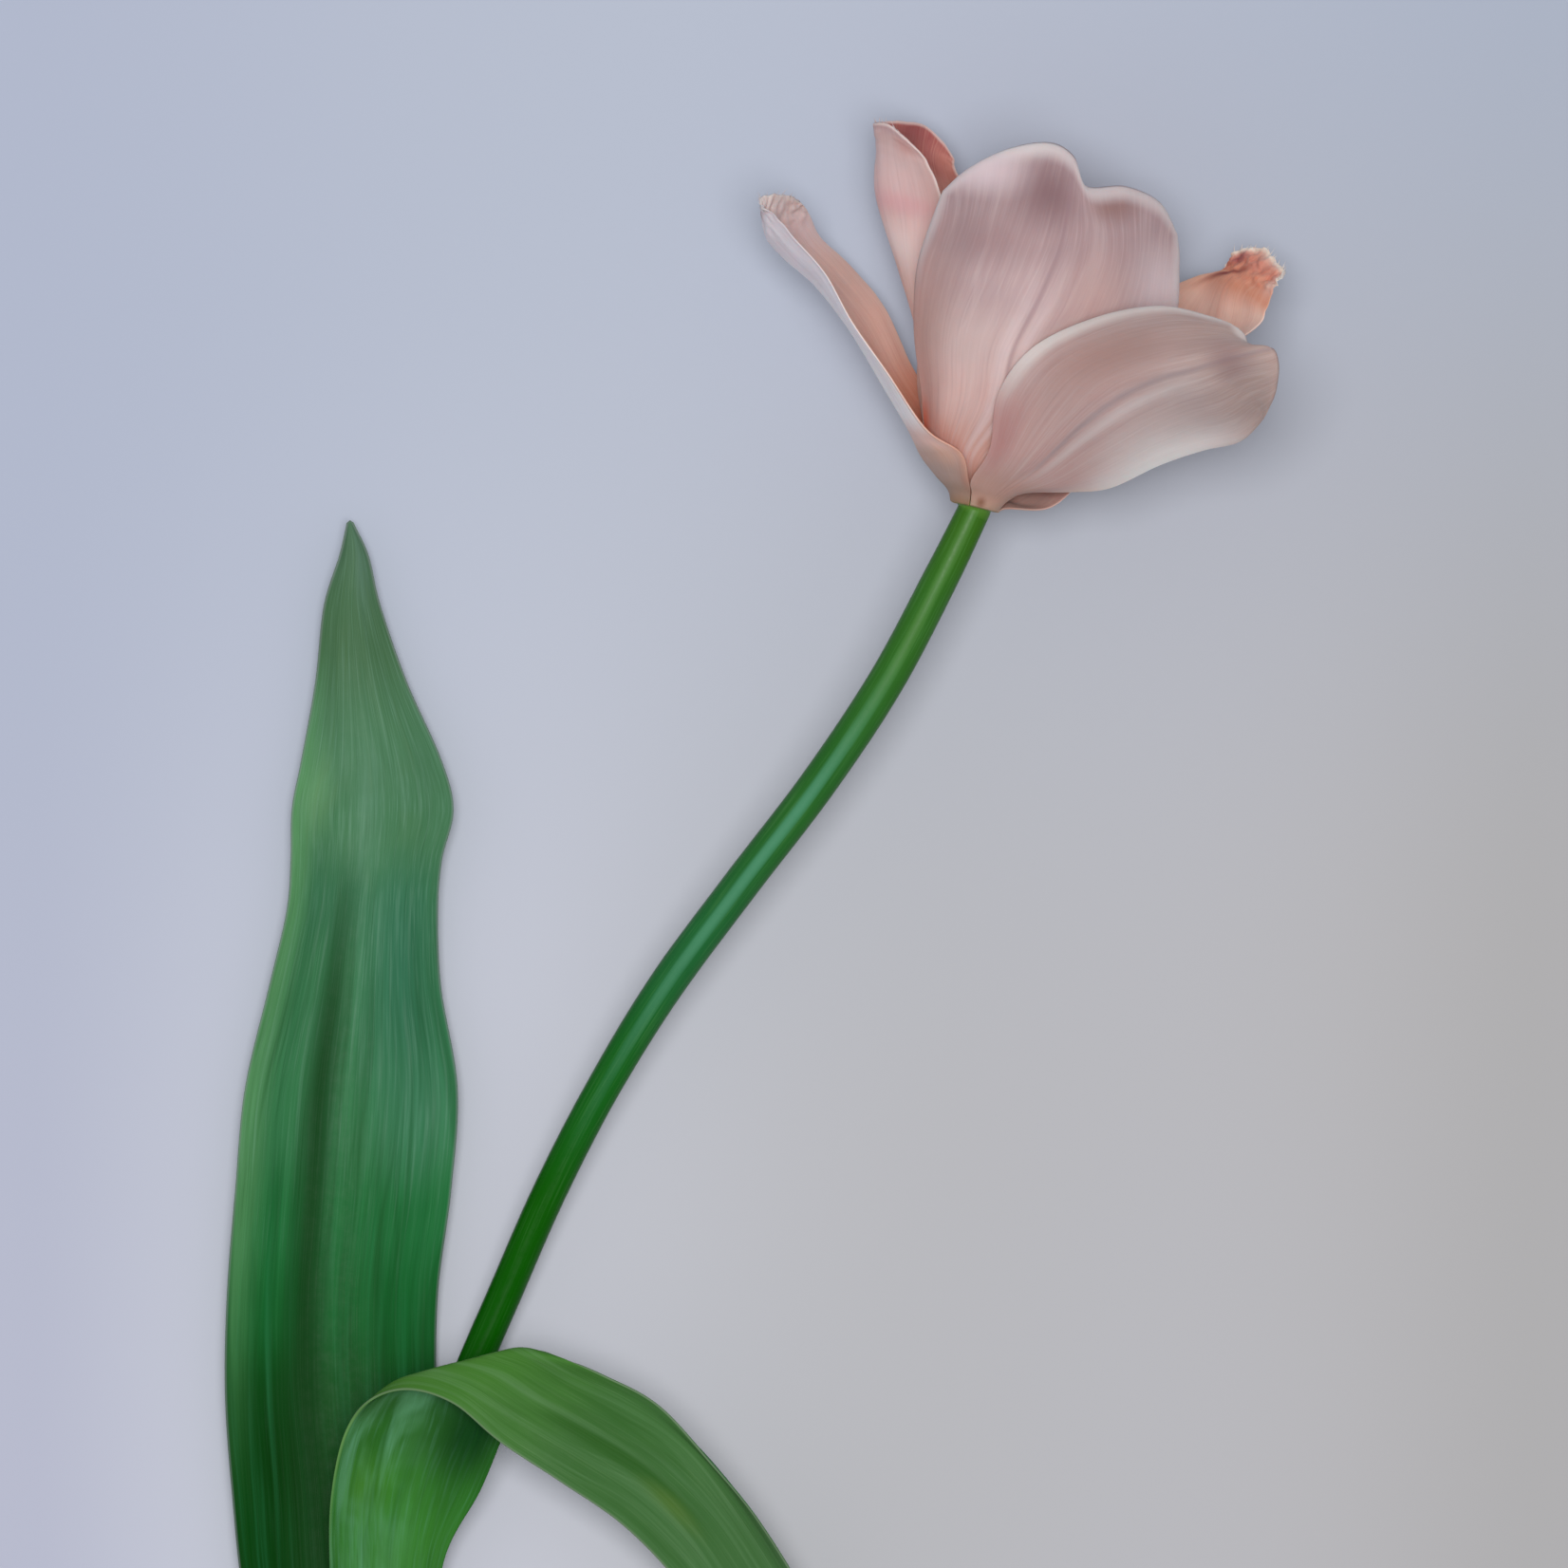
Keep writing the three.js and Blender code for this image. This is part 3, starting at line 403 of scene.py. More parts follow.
class Value:
    """What an output of a node gives. Arithmetic with it adds Math nodes to its tree."""

    def __init__(self, tree, socket):
        self.tree, self.socket = tree, socket

    def calc(self, operation, *others):
        return add(self.tree, "ShaderNodeMath", dict(enumerate((self, *others))), operation=operation)

    __add__ = partialmethod(calc, "ADD")
    __sub__ = partialmethod(calc, "SUBTRACT")
    __mul__ = partialmethod(calc, "MULTIPLY")
    __truediv__ = partialmethod(calc, "DIVIDE")
    __pow__ = partialmethod(calc, "POWER")

    def __rsub__(self, other):
        return add(self.tree, "ShaderNodeMath", {0: other, 1: self}, operation="SUBTRACT")

    def __rpow__(self, other):
        return add(self.tree, "ShaderNodeMath", {0: other, 1: self}, operation="POWER")

    def ease(self, low, high, first=0.0, last=1.0):
        """first below low, last above high, and a smooth change between them."""
        sockets = {"Value": self, "From Min": low, "From Max": high, "To Min": first, "To Max": last}
        return add(self.tree, "ShaderNodeMapRange", sockets, interpolation_type="SMOOTHSTEP")

    def noise(self, scale=1.0, detail=2.0, roughness=0.5):
        sockets = {"Vector": self, "Scale": scale, "Detail": detail, "Roughness": roughness}
        return add(self.tree, "ShaderNodeTexNoise", sockets, "Fac")

    def scaled(self, factor):
        return add(self.tree, "ShaderNodeVectorMath", {0: self, "Scale": factor}, operation="SCALE")

    def ramp(self, stops, interpolation="EASE"):
        """The colour at this value, from the colours at some places on the ramp."""
        colour = add(self.tree, "ShaderNodeValToRGB", {"Fac": self}, "Color")
        band = colour.socket.node.color_ramp
        band.interpolation = interpolation
        while len(band.elements) < len(stops):
            band.elements.new(0.5)
        for element, (place, code) in zip(band.elements, stops.items()):
            element.position, element.color = place, tint(code)
        return colour


def put(tree, socket, value):
    """Links a socket to what a node gives, or sets it to a plain value."""
    if isinstance(value, Value):
        tree.links.new(value.socket, socket)
    else:
        socket.default_value = value


def add(tree, kind, sockets=None, output=0, **settings):
    """What one output gives of a new node with these settings and input sockets."""
    node = tree.nodes.new(kind)
    for key, value in settings.items():
        setattr(node, key, value)
    for key, value in (sockets or {}).items():
        put(tree, node.inputs[key], value)
    return Value(tree, node.outputs[output])


def tint(code):
    """A colour written as six hexadecimal digits, as the light values that nodes use."""
    parts = [int(code[i:i + 2], 16) / 255 for i in (0, 2, 4)]
    return (*[c / 12.92 if c <= 0.04045 else ((c + 0.055) / 1.055) ** 2.4 for c in parts], 1.0)


def mix(tree, mask, first, second, mode="MIX"):
    return add(tree, "ShaderNodeMix", {0: mask, 6: first, 7: second}, 2, data_type="RGBA", blend_type=mode)


def vector(tree, x, y, z):
    return add(tree, "ShaderNodeCombineXYZ", {"X": x, "Y": y, "Z": z})


def socket_name(key):
    return key.replace("_", " ").title()


def new_group(name, kind, **inputs):
    """A node group and what its inputs give. An input is a number to start from, or a kind of socket."""
    tree = bpy.data.node_groups.new(name, kind)
    for key, value in inputs.items():
        word = value if isinstance(value, str) else {float: "Float", int: "Int"}[type(value)]
        socket = tree.interface.new_socket(socket_name(key), in_out="INPUT", socket_type="NodeSocket" + word)
        if word != value:
            socket.default_value = value
    outputs = tree.nodes.new("NodeGroupInput").outputs
    return tree, SimpleNamespace(**{key: Value(tree, outputs[socket_name(key)]) for key in inputs})


def close_group(tree, word="Float", **values):
    """Makes the outputs of a node group and leads these values to them."""
    for key in values:
        tree.interface.new_socket(socket_name(key), in_out="OUTPUT", socket_type="NodeSocket" + word)
    result = tree.nodes.new("NodeGroupOutput")
    for key, value in values.items():
        put(tree, result.inputs[socket_name(key)], value)
    return tree


def close_tree(tree, geometry, material):
    """Smooth shading, real geometry in place of instances, and the material."""
    smooth = add(tree, "GeometryNodeSetShadeSmooth", {"Geometry": geometry})
    real = add(tree, "GeometryNodeRealizeInstances", {"Geometry": smooth})
    dressed = add(tree, "GeometryNodeSetMaterial", {"Geometry": real, "Material": material})
    return close_group(tree, "Geometry", geometry=dressed)


def named(tree, name, kind="FLOAT"):
    return add(tree, "GeometryNodeInputNamedAttribute", {"Name": name}, "Attribute", data_type=kind)


def store(geometry, name, value):
    sockets = {"Geometry": geometry, "Name": name, "Value": value}
    return add(geometry.tree, "GeometryNodeStoreNamedAttribute", sockets, data_type="FLOAT", domain="POINT")


def join(tree, *geometries):
    joined = add(tree, "GeometryNodeJoinGeometry")
    for geometry in geometries:
        put(tree, joined.socket.node.inputs[0], geometry)
    return joined


def random_size(tree, low, high, seed):
    return add(tree, "FunctionNodeRandomValue", {2: low, 3: high, "Seed": seed}, 1, data_type="FLOAT")


def veined_blade():
    """Raised veins, a grooved midrib and soft puckers on a blade, and bristles on its tip."""
    tree, given = new_group(
        "Veined blade", "GeometryNodeTree", geometry="Geometry", vein_count=30.0, vein_height=0.0001,
        midrib_height=0.0003, midrib_width=0.02, midrib_drift=0.0, pucker_height=0.0003,
        pucker_across=4.0, pucker_along=3.0, lip_height=0.0, lip_width=0.0016, crumple_height=0.0,
        bristle_length=0.002, bristle_width=0.0001, seed=1, material="Material")
    across, along, edge = (named(tree, name) for name in ("across", "along", "from_edge"))
    lift = named(tree, "lift", "FLOAT_VECTOR")
    seed = given.seed * 7.31

    wander = vector(tree, across * 5.0, along * 2.5, seed).noise()
    phase = across * given.vein_count + wander * 3.0
    ridge = (phase.calc("PINGPONG", 0.5) * 2.0) ** 1.6
    veins = ridge * given.vein_height * (edge.ease(0.0, 0.003) * along.ease(0.05, 0.3))

    middle = given.midrib_drift * along.ease(0.8, 1.0) + 0.5
    aside = (across - middle).calc("ABSOLUTE") / given.midrib_width
    two = 0.05 ** ((aside - 1.0) ** 2.0)
    length = along.ease(0.05, 0.2) * along.ease(0.8, 0.99, 1.0, 0.0)
    midrib = two * given.midrib_height * length

    soft = vector(tree, across * given.pucker_across, along * given.pucker_along, seed + 3.7).noise()
    broad = edge.ease(0.0, 0.006) * along.ease(0.2, 0.45)
    pucker = (soft - 0.5) * given.pucker_height * broad

    # A lip is a soft ridge that runs just inside the free margin of the tip.
    inward = edge / given.lip_width
    lip = inward * (1.0 - inward).calc("EXPONENT") * given.lip_height * along.ease(0.5, 0.8)

    crushed = vector(tree, across * 9.0, along * 22.0, seed + 9.1).noise(1.0, 1.0)
    crumple = (crushed - 0.5) * given.crumple_height * along.ease(0.78, 0.97)

    height = veins + midrib + (pucker + (lip + crumple))
    is_root = named(tree, "root").calc("GREATER_THAN", 0.5)
    roots = add(tree, "GeometryNodeSeparateGeometry", {"Geometry": given.geometry, "Selection": is_root},
                domain="POINT")
    blade = Value(tree, roots.socket.node.outputs["Inverted"])
    raised = add(tree, "GeometryNodeSetPosition", {"Geometry": blade, "Offset": lift.scaled(height)})

    spike = add(tree, "GeometryNodeMeshCone", {
        "Vertices": 4, "Radius Top": 0.00001, "Radius Bottom": given.bristle_width,
        "Depth": given.bristle_length}, "Mesh", fill_type="NGON")
    bristles = add(tree, "GeometryNodeInstanceOnPoints", {
        "Points": add(tree, "GeometryNodeMeshToPoints", {"Mesh": roots}), "Instance": spike,
        "Rotation": add(tree, "FunctionNodeAlignRotationToVector", {"Vector": lift}, axis="Z"),
        "Scale": vector(tree, 1.0, 1.0, random_size(tree, 0.35, 1.0, given.seed))})
    return close_tree(tree, join(tree, bristles, raised), given.material)


def swept_stalk():
    """A round stalk along a line, with fine lengthwise ridges and two lobes where lobe is set."""
    tree, given = new_group("Swept stalk", "GeometryNodeTree", geometry="Geometry", sides=32,
                            ridge_count=16.0, ridge_height=0.00003, material="Material")
    line = add(tree, "GeometryNodeMeshToCurve", {"Mesh": given.geometry})
    circle = add(tree, "GeometryNodeCurvePrimitiveCircle",
                 {"Resolution": given.sides, "Radius": 1.0}, "Curve")
    line, circle = (store(curve, name, add(tree, "GeometryNodeSplineParameter", None, "Factor"))
                    for curve, name in ((line, "along"), (circle, "around")))
    swept = add(tree, "GeometryNodeCurveToMesh", {
        "Curve": line, "Profile Curve": circle, "Scale": named(tree, "thickness"), "Fill Caps": True})
    turn = named(tree, "around") * (2 * math.pi)
    ridge = (turn * given.ridge_count).calc("COSINE") * given.ridge_height
    lobes = (turn * 2.0).calc("COSINE") * named(tree, "lobe")
    normal = add(tree, "GeometryNodeInputNormal", None, "Normal")
    shaped = add(tree, "GeometryNodeSetPosition", {"Geometry": swept, "Offset": normal.scaled(ridge + lobes)})
    # How far each point faces up, kept for the stem skin's painted highlight.
    shaped = store(shaped, "facing_up", add(tree, "ShaderNodeSeparateXYZ", {0: normal}, "Z"))
    return close_tree(tree, shaped, given.material)


def dusted():
    """Small round grains scattered on the part of a piece that lies past a place along it."""
    tree, given = new_group("Dusted", "GeometryNodeTree", geometry="Geometry", grain_radius=0.0001,
                            density=1e6, from_along=0.5, stretch=1.0, seed=1, material="Material")
    dusty = named(tree, "along").calc("GREATER_THAN", given.from_along)
    points = add(tree, "GeometryNodeDistributePointsOnFaces", {
        "Mesh": given.geometry, "Selection": dusty, "Density": given.density, "Seed": given.seed}, "Points")
    turned = Value(tree, points.socket.node.outputs["Rotation"])
    grain = add(tree, "GeometryNodeMeshIcoSphere", {"Radius": given.grain_radius, "Subdivisions": 1}, "Mesh")
    size = random_size(tree, 0.6, 1.2, given.seed)
    grains = add(tree, "GeometryNodeInstanceOnPoints", {
        "Points": points, "Instance": grain, "Rotation": turned,
        "Scale": vector(tree, size, size, size * given.stretch)})
    grains = store(add(tree, "GeometryNodeRealizeInstances", {"Geometry": grains}), "grain", 1.0)
    return close_tree(tree, join(tree, grains, given.geometry), given.material)


def grow(piece, tree, **values):
    """Runs a tree on a piece and leaves a plain mesh."""
    modifier = piece.modifiers.new(tree.name, "NODES")
    modifier.node_group = tree
    sockets = {item.name: item.identifier for item in tree.interface.items_tree if item.in_out == "INPUT"}
    for key, value in values.items():
        modifier[sockets[socket_name(key)]] = value
    graph = bpy.context.evaluated_depsgraph_get()
    mesh = bpy.data.meshes.new_from_object(piece.evaluated_get(graph), depsgraph=graph)
    piece.modifiers.clear()
    mesh.name = piece.name
    piece.data = mesh
    return piece


def new_object(name, data):
    thing = bpy.data.objects.new(name, data)
    bpy.context.scene.collection.objects.link(thing)
    return thing


def hand_over(piece, node):
    """Keeps a finished piece within the solid part's box, and puts it in its node's place."""
    mesh = piece.data
    places = np.empty(len(mesh.vertices) * 3, np.float32)
    mesh.vertices.foreach_get("co", places)
    inside = np.clip(places.reshape(-1, 3), np.array(cad_low), np.array(cad_high))
    mesh.vertices.foreach_set("co", inside.astype(np.float32).ravel())
    mesh.update()
    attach(piece, "root")
    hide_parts(node)


# Finishes --------------------


def lengthwise_streaks():
    """Lines along a blade that waver, break off and start again."""
    tree, given = new_group("Lengthwise streaks", "ShaderNodeTree", across=0.0, along=0.0, count=60.0,
                            stretch=2.0, seed=1.0, low=0.4, high=0.65)
    bend = vector(tree, given.across * 4.0, given.along * 5.0, given.seed).noise(1.0, 1.0)
    x = given.across * given.count + bend * 3.0
    streak = vector(tree, x, given.along * given.stretch, given.seed).noise(1.0, 3.0, 0.55)
    return close_group(tree, streak=streak.ease(given.low, given.high))


def soft_patch():
    """A soft oval, whose middle line shifts across by the slant for each step along."""
    tree, given = new_group("Soft patch", "ShaderNodeTree", across=0.0, along=0.0, mid_across=0.5,
                            mid_along=0.5, half_width=0.2, half_length=0.2, slant=0.0)
    step = given.along - given.mid_along
    x = (given.across - (given.mid_across + step * given.slant)) / given.half_width
    y = step / given.half_length
    return close_group(tree, mask=(x * x + y * y).calc("SQRT").ease(0.0, 1.0, 1.0, 0.0))


def waxy_mottle():
    """Fine and broad uneven spots all over a piece."""
    tree, given = new_group("Waxy mottle", "ShaderNodeTree", scale=400.0, seed=0.0)
    place = add(tree, "ShaderNodeTexCoord", None, "Object")
    shift = vector(tree, given.seed, 0.0, 0.0)
    moved = add(tree, "ShaderNodeVectorMath", {0: place, 1: shift}, operation="ADD")
    return close_group(tree, fine=moved.noise(given.scale, 4.0, 0.65),
                       broad=moved.noise(given.scale * 0.12, 3.0, 0.55))


STREAKS, PATCH, MOTTLE = lengthwise_streaks(), soft_patch(), waxy_mottle()


class Skin:
    """One plant skin, painted in layers over where each point lies on its piece."""

    def __init__(self, name, seed):
        self.material = bpy.data.materials.new(name)
        self.material.use_nodes = True
        self.tree = self.material.node_tree
        self.seed = seed
        self.across, self.along, self.edge, inner = map(self.read, ("across", "along", "from_edge", "inner"))
        self.face = {"inner": inner, "outer": 1.0 - inner, "both": 1.0}
        self.colour = None

    def read(self, name):
        return add(self.tree, "ShaderNodeAttribute", None, "Fac",
                   attribute_type="GEOMETRY", attribute_name=name)

    def group(self, group, output, **values):
        sockets = {socket_name(key): value for key, value in values.items()}
        return add(self.tree, "ShaderNodeGroup", sockets, output, node_tree=group)

    def over(self, low, high):
        """A rise from 0 to 1 along the piece, or a fall where low is past high."""
        return self.along.ease(low, high)

    def base(self, outer, inner):
        self.colour = mix(self.tree, self.face["inner"], self.along.ramp(outer), self.along.ramp(inner))

    def lay(self, mask, code):
        self.colour = mix(self.tree, mask, self.colour, tint(code))

    def patches(self, side, *plans):
        """Soft ovals: colour, middle across and along, half width and length, strength, any slant."""
        for code, across, along, half_width, half_length, strength, *slant in plans:
            mask = self.group(PATCH, "Mask", across=self.across, along=self.along, mid_across=across,
                              mid_along=along, half_width=half_width, half_length=half_length,
                              slant=slant[0] if slant else 0.0)
            self.lay(mask * strength * self.face[side], code)

    def rim(self, side, code, flat, width, strength, where=1.0):
        """A border of colour along the free margins: full for the flat width in mm, and then fading."""
        mask = self.edge.ease(flat * MM, width * MM, 1.0, 0.0)
        self.lay(mask * strength * self.face[side] * where, code)

    def streak_mask(self, across, count, stretch, low, high, seed):
        return self.group(STREAKS, "Streak", across=across, along=self.along, count=count,
                          stretch=stretch, seed=seed, low=low, high=high)

    def streaks(self, side, *plans):
        """Broken lines: colour, count, stretch, strength, low, high, any shift of the seed and mask."""
        for code, count, stretch, strength, low, high, *more in plans:
            shift, where = more + [0, 1][len(more):]
            mask = self.streak_mask(self.across, count, stretch, low, high, self.seed + shift)
            self.lay(mask * strength * self.face[side] * where, code)

    def stripe(self, side, code, middle, width, strength, where=1.0):
        """A soft stripe down the blade at a place across it."""
        mask = (self.across - middle).calc("ABSOLUTE").ease(0.0, width, 1.0, 0.0)
        self.lay(mask * strength * self.face[side] * where, code)

    def finish(self, roughness, bump, streak_count, mottle_scale, specular=0.4, subsurface=0.0, sheen=0.0):
        """The shader itself: colour, roughness that wanders a little, and a fine bump."""
        fine, broad = (self.group(MOTTLE, output, scale=mottle_scale, seed=self.seed)
                       for output in ("Fine", "Broad"))
        grey = broad * 0.16 + 0.92
        shade = add(self.tree, "ShaderNodeCombineColor", {0: grey, 1: grey, 2: grey})
        lines = self.streak_mask(self.across, streak_count, 1.5, 0.3, 0.7, self.seed + 9)
        values = {
            "Base Color": mix(self.tree, 1.0, self.colour, shade, "MULTIPLY"),
            "Roughness": fine.ease(0.2, 0.8, roughness - ROUGHNESS_WANDER, roughness + ROUGHNESS_WANDER),
            "Normal": add(self.tree, "ShaderNodeBump", {
                "Strength": bump, "Distance": BUMP_DEPTH, "Height": lines * 0.7 + fine * 0.3}, "Normal"),
            "Specular IOR Level": specular, "Subsurface Weight": subsurface,
            "Subsurface Radius": SCATTER_RADIUS, "Subsurface Scale": SCATTER_SCALE, "Sheen Weight": sheen,
        }
        for key, value in values.items():
            put(self.tree, self.tree.nodes["Principled BSDF"].inputs[key], value)
        return self.material


# The inner faces of the two petals that are seen from outside only.
COVERED_INSIDE = {0: "c8a050", 0.15: "d98a5c", 0.5: "d69a86", 1: "cf9a90"}


def petal_finish(skin):
    return skin.finish(
        roughness=0.65, bump=0.12, streak_count=90, mottle_scale=700, specular=0.16, subsurface=0.4,
        sheen=0.05)


def petal_streaks(skin, side, pale, deep, strength):
    """Fine pale and deep lines, and broader soft ones, that run from the claw to the tip."""
    where = skin.over(0.12, 0.35)
    skin.streaks(
        side,
        (pale, 90, 3.5, strength, 0.4, 0.8, 0, where),
        (deep, 70, 3, strength, 0.45, 0.8, 4, where),
        (pale, 22, 1.6, 0.8 * strength, 0.45, 0.8, 6, where),
        (deep, 13, 1.4, 0.8 * strength, 0.45, 0.8, 8, where))


def front_petal_skin():
    skin = Skin("front petal skin", 1)
    skin.base(
        {0: "9a6c52", 0.1: "b0705a", 0.22: "c08370", 0.4: "cb9c90", 0.5: "cfaca6", 0.62: "cab1ae",
         0.74: "b9a0a1", 0.86: "aa9092", 1: "a48d91"},
        COVERED_INSIDE)
    petal_streaks(skin, "outer", "dac6c4", "9c7d80", 0.3)
    skin.patches(
        "outer",
        ("b28a82", 0.04, 0.64, 0.28, 0.3, 0.6),
        ("987a7c", 0.27, 0.84, 0.26, 0.1, 0.5),
        # Painted shade: a mauve band under the rolled rim of the left lobe.
        ("826468", 0.43, 0.93, 0.2, 0.08, 0.9),
        ("d2c2c6", 0.92, 0.82, 0.22, 0.14, 0.75),
        ("c8a6a0", 0.68, 0.76, 0.2, 0.14, 0.5),
        # Painted shade: a darker band under the rim of the right lobe.
        ("8f6c68", 0.7, 0.955, 0.14, 0.06, 0.75, 0.6),
        ("a0584e", 0.3, 0.16, 0.3, 0.12, 0.6),
        ("e0a088", 0, 0.3, 0.22, 0.18, 0.7),
        ("c85c38", 0.02, 0.43, 0.1, 0.07, 0.75))
    midrib = skin.over(0.3, 0.45) * skin.over(0.86, 0.62)
    skin.stripe("outer", "d6c4c6", 0.475, 0.04, 0.4, midrib)
    skin.stripe("outer", "d6c4c6", 0.545, 0.035, 0.4, midrib)
    skin.stripe("outer", "967a80", 0.508, 0.016, 0.5, skin.over(0.45, 0.6))
    # A pale margin at the tip: partly the petal's own colour, partly a painted highlight where the rolled lip
    # catches the light.
    skin.rim("outer", "c8bfc1", 1.2, 4.2, 0.8, skin.over(0.66, 0.86))
    skin.patches(
        "outer",
        # Partly painted highlight: the rim paler still at the top of the left lobe.
        ("d8cfcf", 0.3, 1, 0.22, 0.04, 0.7),
        ("d9c8cd", 0.2, 0.965, 0.18, 0.06, 0.8, -1))
    # Painted shade: a thin darker line along the very edge of the tip.
    skin.rim("outer", "9c9094", 0.05, 0.5, 0.25, skin.over(0.8, 0.9))
    return petal_finish(skin)


def spread_petal_skin():
    skin = Skin("spread petal skin", 2)
    skin.base(
        {0: "a88a78", 0.1: "b08a7c", 0.22: "b68f84", 0.35: "bd9893", 0.5: "b89c99", 0.7: "b39f9c",
         0.85: "a8918b", 1: "a8948e"},
        COVERED_INSIDE)
    petal_streaks(skin, "outer", "d0c2c0", "957b7d", 0.28)
    skin.patches(
        "outer",
        ("997770", 0.28, 0.62, 0.3, 0.28, 0.75),
        ("a87472", 0.1, 0.36, 0.22, 0.14, 0.65),
        ("d8d0ce", 0.84, 0.54, 0.3, 0.2, 0.5),
        ("b98a80", 0.6, 0.2, 0.3, 0.1, 0.4),
        ("7a4c36", 0.24, 0.05, 0.16, 0.07, 0.75))
    middle = skin.over(0.25, 0.4) * skin.over(0.85, 0.55)
    skin.stripe("outer", "857a80", 0.5, 0.03, 0.45, skin.over(0.25, 0.4))
    skin.stripe("outer", "d2cac9", 0.57, 0.05, 0.5, middle)
    skin.patches(
        "outer",
        ("c4a08c", 1, 0.36, 0.12, 0.16, 0.5),
        ("f4ecea", 0.99, 0.58, 0.28, 0.34, 0.85),
        ("83686a", 0.5, 0.88, 0.24, 0.1, 0.6))
    upper = skin.over(0.4, 0.54) * skin.across.ease(0.1, 0.4, 1, 0)
    skin.rim("outer", "cfc6c3", 1.4, 4.4, 0.85, upper)
    skin.rim("outer", "978a8a", 0.05, 0.5, 0.25, skin.over(0.7, 0.9))
    return petal_finish(skin)


def salmon_petal_skin(name, seed, outer, inner, pale="f0cdb8", deep="c08070"):
    skin = Skin(name, seed)
    skin.base(outer, inner)
    petal_streaks(skin, "inner", pale, deep, 0.25)
    petal_streaks(skin, "outer", "e2d0d2", "a58b90", 0.22)
    skin.stripe("inner", deep, 0.5, 0.03, 0.3, skin.over(0.2, 0.4))
    return skin


def left_petal_skin():
    skin = salmon_petal_skin(
        "left petal skin", 3,
        {0: "8e7058", 0.1: "967a6c", 0.22: "ab8e84", 0.3: "bc9686", 0.37: "e2b8ac", 0.44: "fff2f2",
         0.6: "fcf0f3", 0.74: "ece2e8", 0.86: "dad2d8", 1: "bcb3b8"},
        {0: "c8a050", 0.12: "c2583a", 0.25: "e0947a", 0.44: "e6a488", 0.56: "ecc6b8", 0.7: "d6b8ae",
         0.86: "d8c8ca", 1: "d2c8c8"})
    skin.patches("outer", ("9c6450", 0.02, 0.2, 0.12, 0.14, 0.6))
    skin.patches("both", ("74484c", 0.32, 0.94, 0.12, 0.03, 0.7))
    skin.rim("outer", "d0a290", 0.3, 1.6, 0.6, skin.over(0.1, 0.3) * skin.over(0.6, 0.45))
    skin.rim("outer", "bfaeb2", 0.2, 1.2, 0.5, skin.over(0.5, 0.65))
    return petal_finish(skin)


def back_petal_skin():
    skin = salmon_petal_skin(
        "back petal skin", 4,
        {0: "a0806a", 0.1: "c49a88", 0.4: "e6ccc2", 0.6: "f6dad3", 0.7: "ebccc7", 0.78: "d8b6b4",
         0.86: "d2b6b4", 0.94: "ccaeab", 1: "b89c9e"},
        {0: "c8a050", 0.15: "d08a66", 0.5: "d8a898", 0.82: "d4a49a", 0.89: "ac6a68", 1: "a46262"})
    skin.patches(
        "outer",
        ("dc98a2", 0.16, 0.77, 0.3, 0.035, 0.35, 1),
        ("f4e6e6", 0.24, 0.7, 0.2, 0.06, 0.7, 1),
        ("c49a90", 0, 0.8, 0.12, 0.25, 0.4),
        ("c48c84", 0.08, 0.93, 0.08, 0.06, 0.5))
    skin.patches(
        "inner",
        ("8f4a4e", 0.6, 0.97, 0.2, 0.08, 0.75),
        ("d49a8c", 0.95, 0.92, 0.2, 0.1, 0.6))
    skin.rim("outer", "94707a", 0.2, 1.8, 0.6, skin.across.ease(0.1, 0.5))
    skin.rim("both", "e6d2ce", 0.2, 0.9, 0.6, skin.over(0.55, 0.8))
    return petal_finish(skin)


def right_petal_skin():
    skin = salmon_petal_skin(
        "right petal skin", 5, {0: "a0806a", 0.1: "b98f7c", 0.4: "c2a096", 0.8: "c8b0b0", 1: "c9bbbe"},
        {0: "c8a050", 0.15: "d08a66", 0.5: "ecc0ae", 0.72: "f4ccbc", 0.8: "d8957a", 0.88: "d48c72",
         0.94: "c47e6c", 1: "dcc0b4"})
    skin.patches(
        "inner",
        ("f6bea2", 0.1, 0.79, 0.2, 0.07, 0.7),
        ("d89a72", 0.2, 0.85, 0.12, 0.04, 0.6),
        # A dark slanting line along a crease: partly the petal's own maroon, partly painted shade in a fold
        # that is not modelled.
        ("7c2c2c", 0.36, 0.84, 0.12, 0.11, 0.95, 2.4),
        ("86404a", 0.3, 0.945, 0.17, 0.05, 0.85),
        ("cf8f80", 0.6, 0.93, 0.14, 0.05, 0.5),
        ("d8c0b8", 0.95, 0.9, 0.12, 0.12, 0.6))
    skin.rim("both", "ead8cc", 0.3, 1.3, 0.75, skin.over(0.88, 0.95))
    return petal_finish(skin)


def under_petal_skin():
    skin = salmon_petal_skin(
        "under petal skin", 6, {0: "9a8068", 0.1: "a8887c", 0.4: "bca8a6", 0.8: "c0a8ac", 1: "b9aaac"},
        {0: "ad8a80", 0.2: "b4948a", 0.27: "bc9a92", 0.32: "b8948e", 0.6: "dcaa9a", 1: "d8a89c"})
    return petal_finish(skin)


def leaf_finish(skin):
    return skin.finish(roughness=0.5, bump=0.18, streak_count=90, mottle_scale=420, specular=0.07)


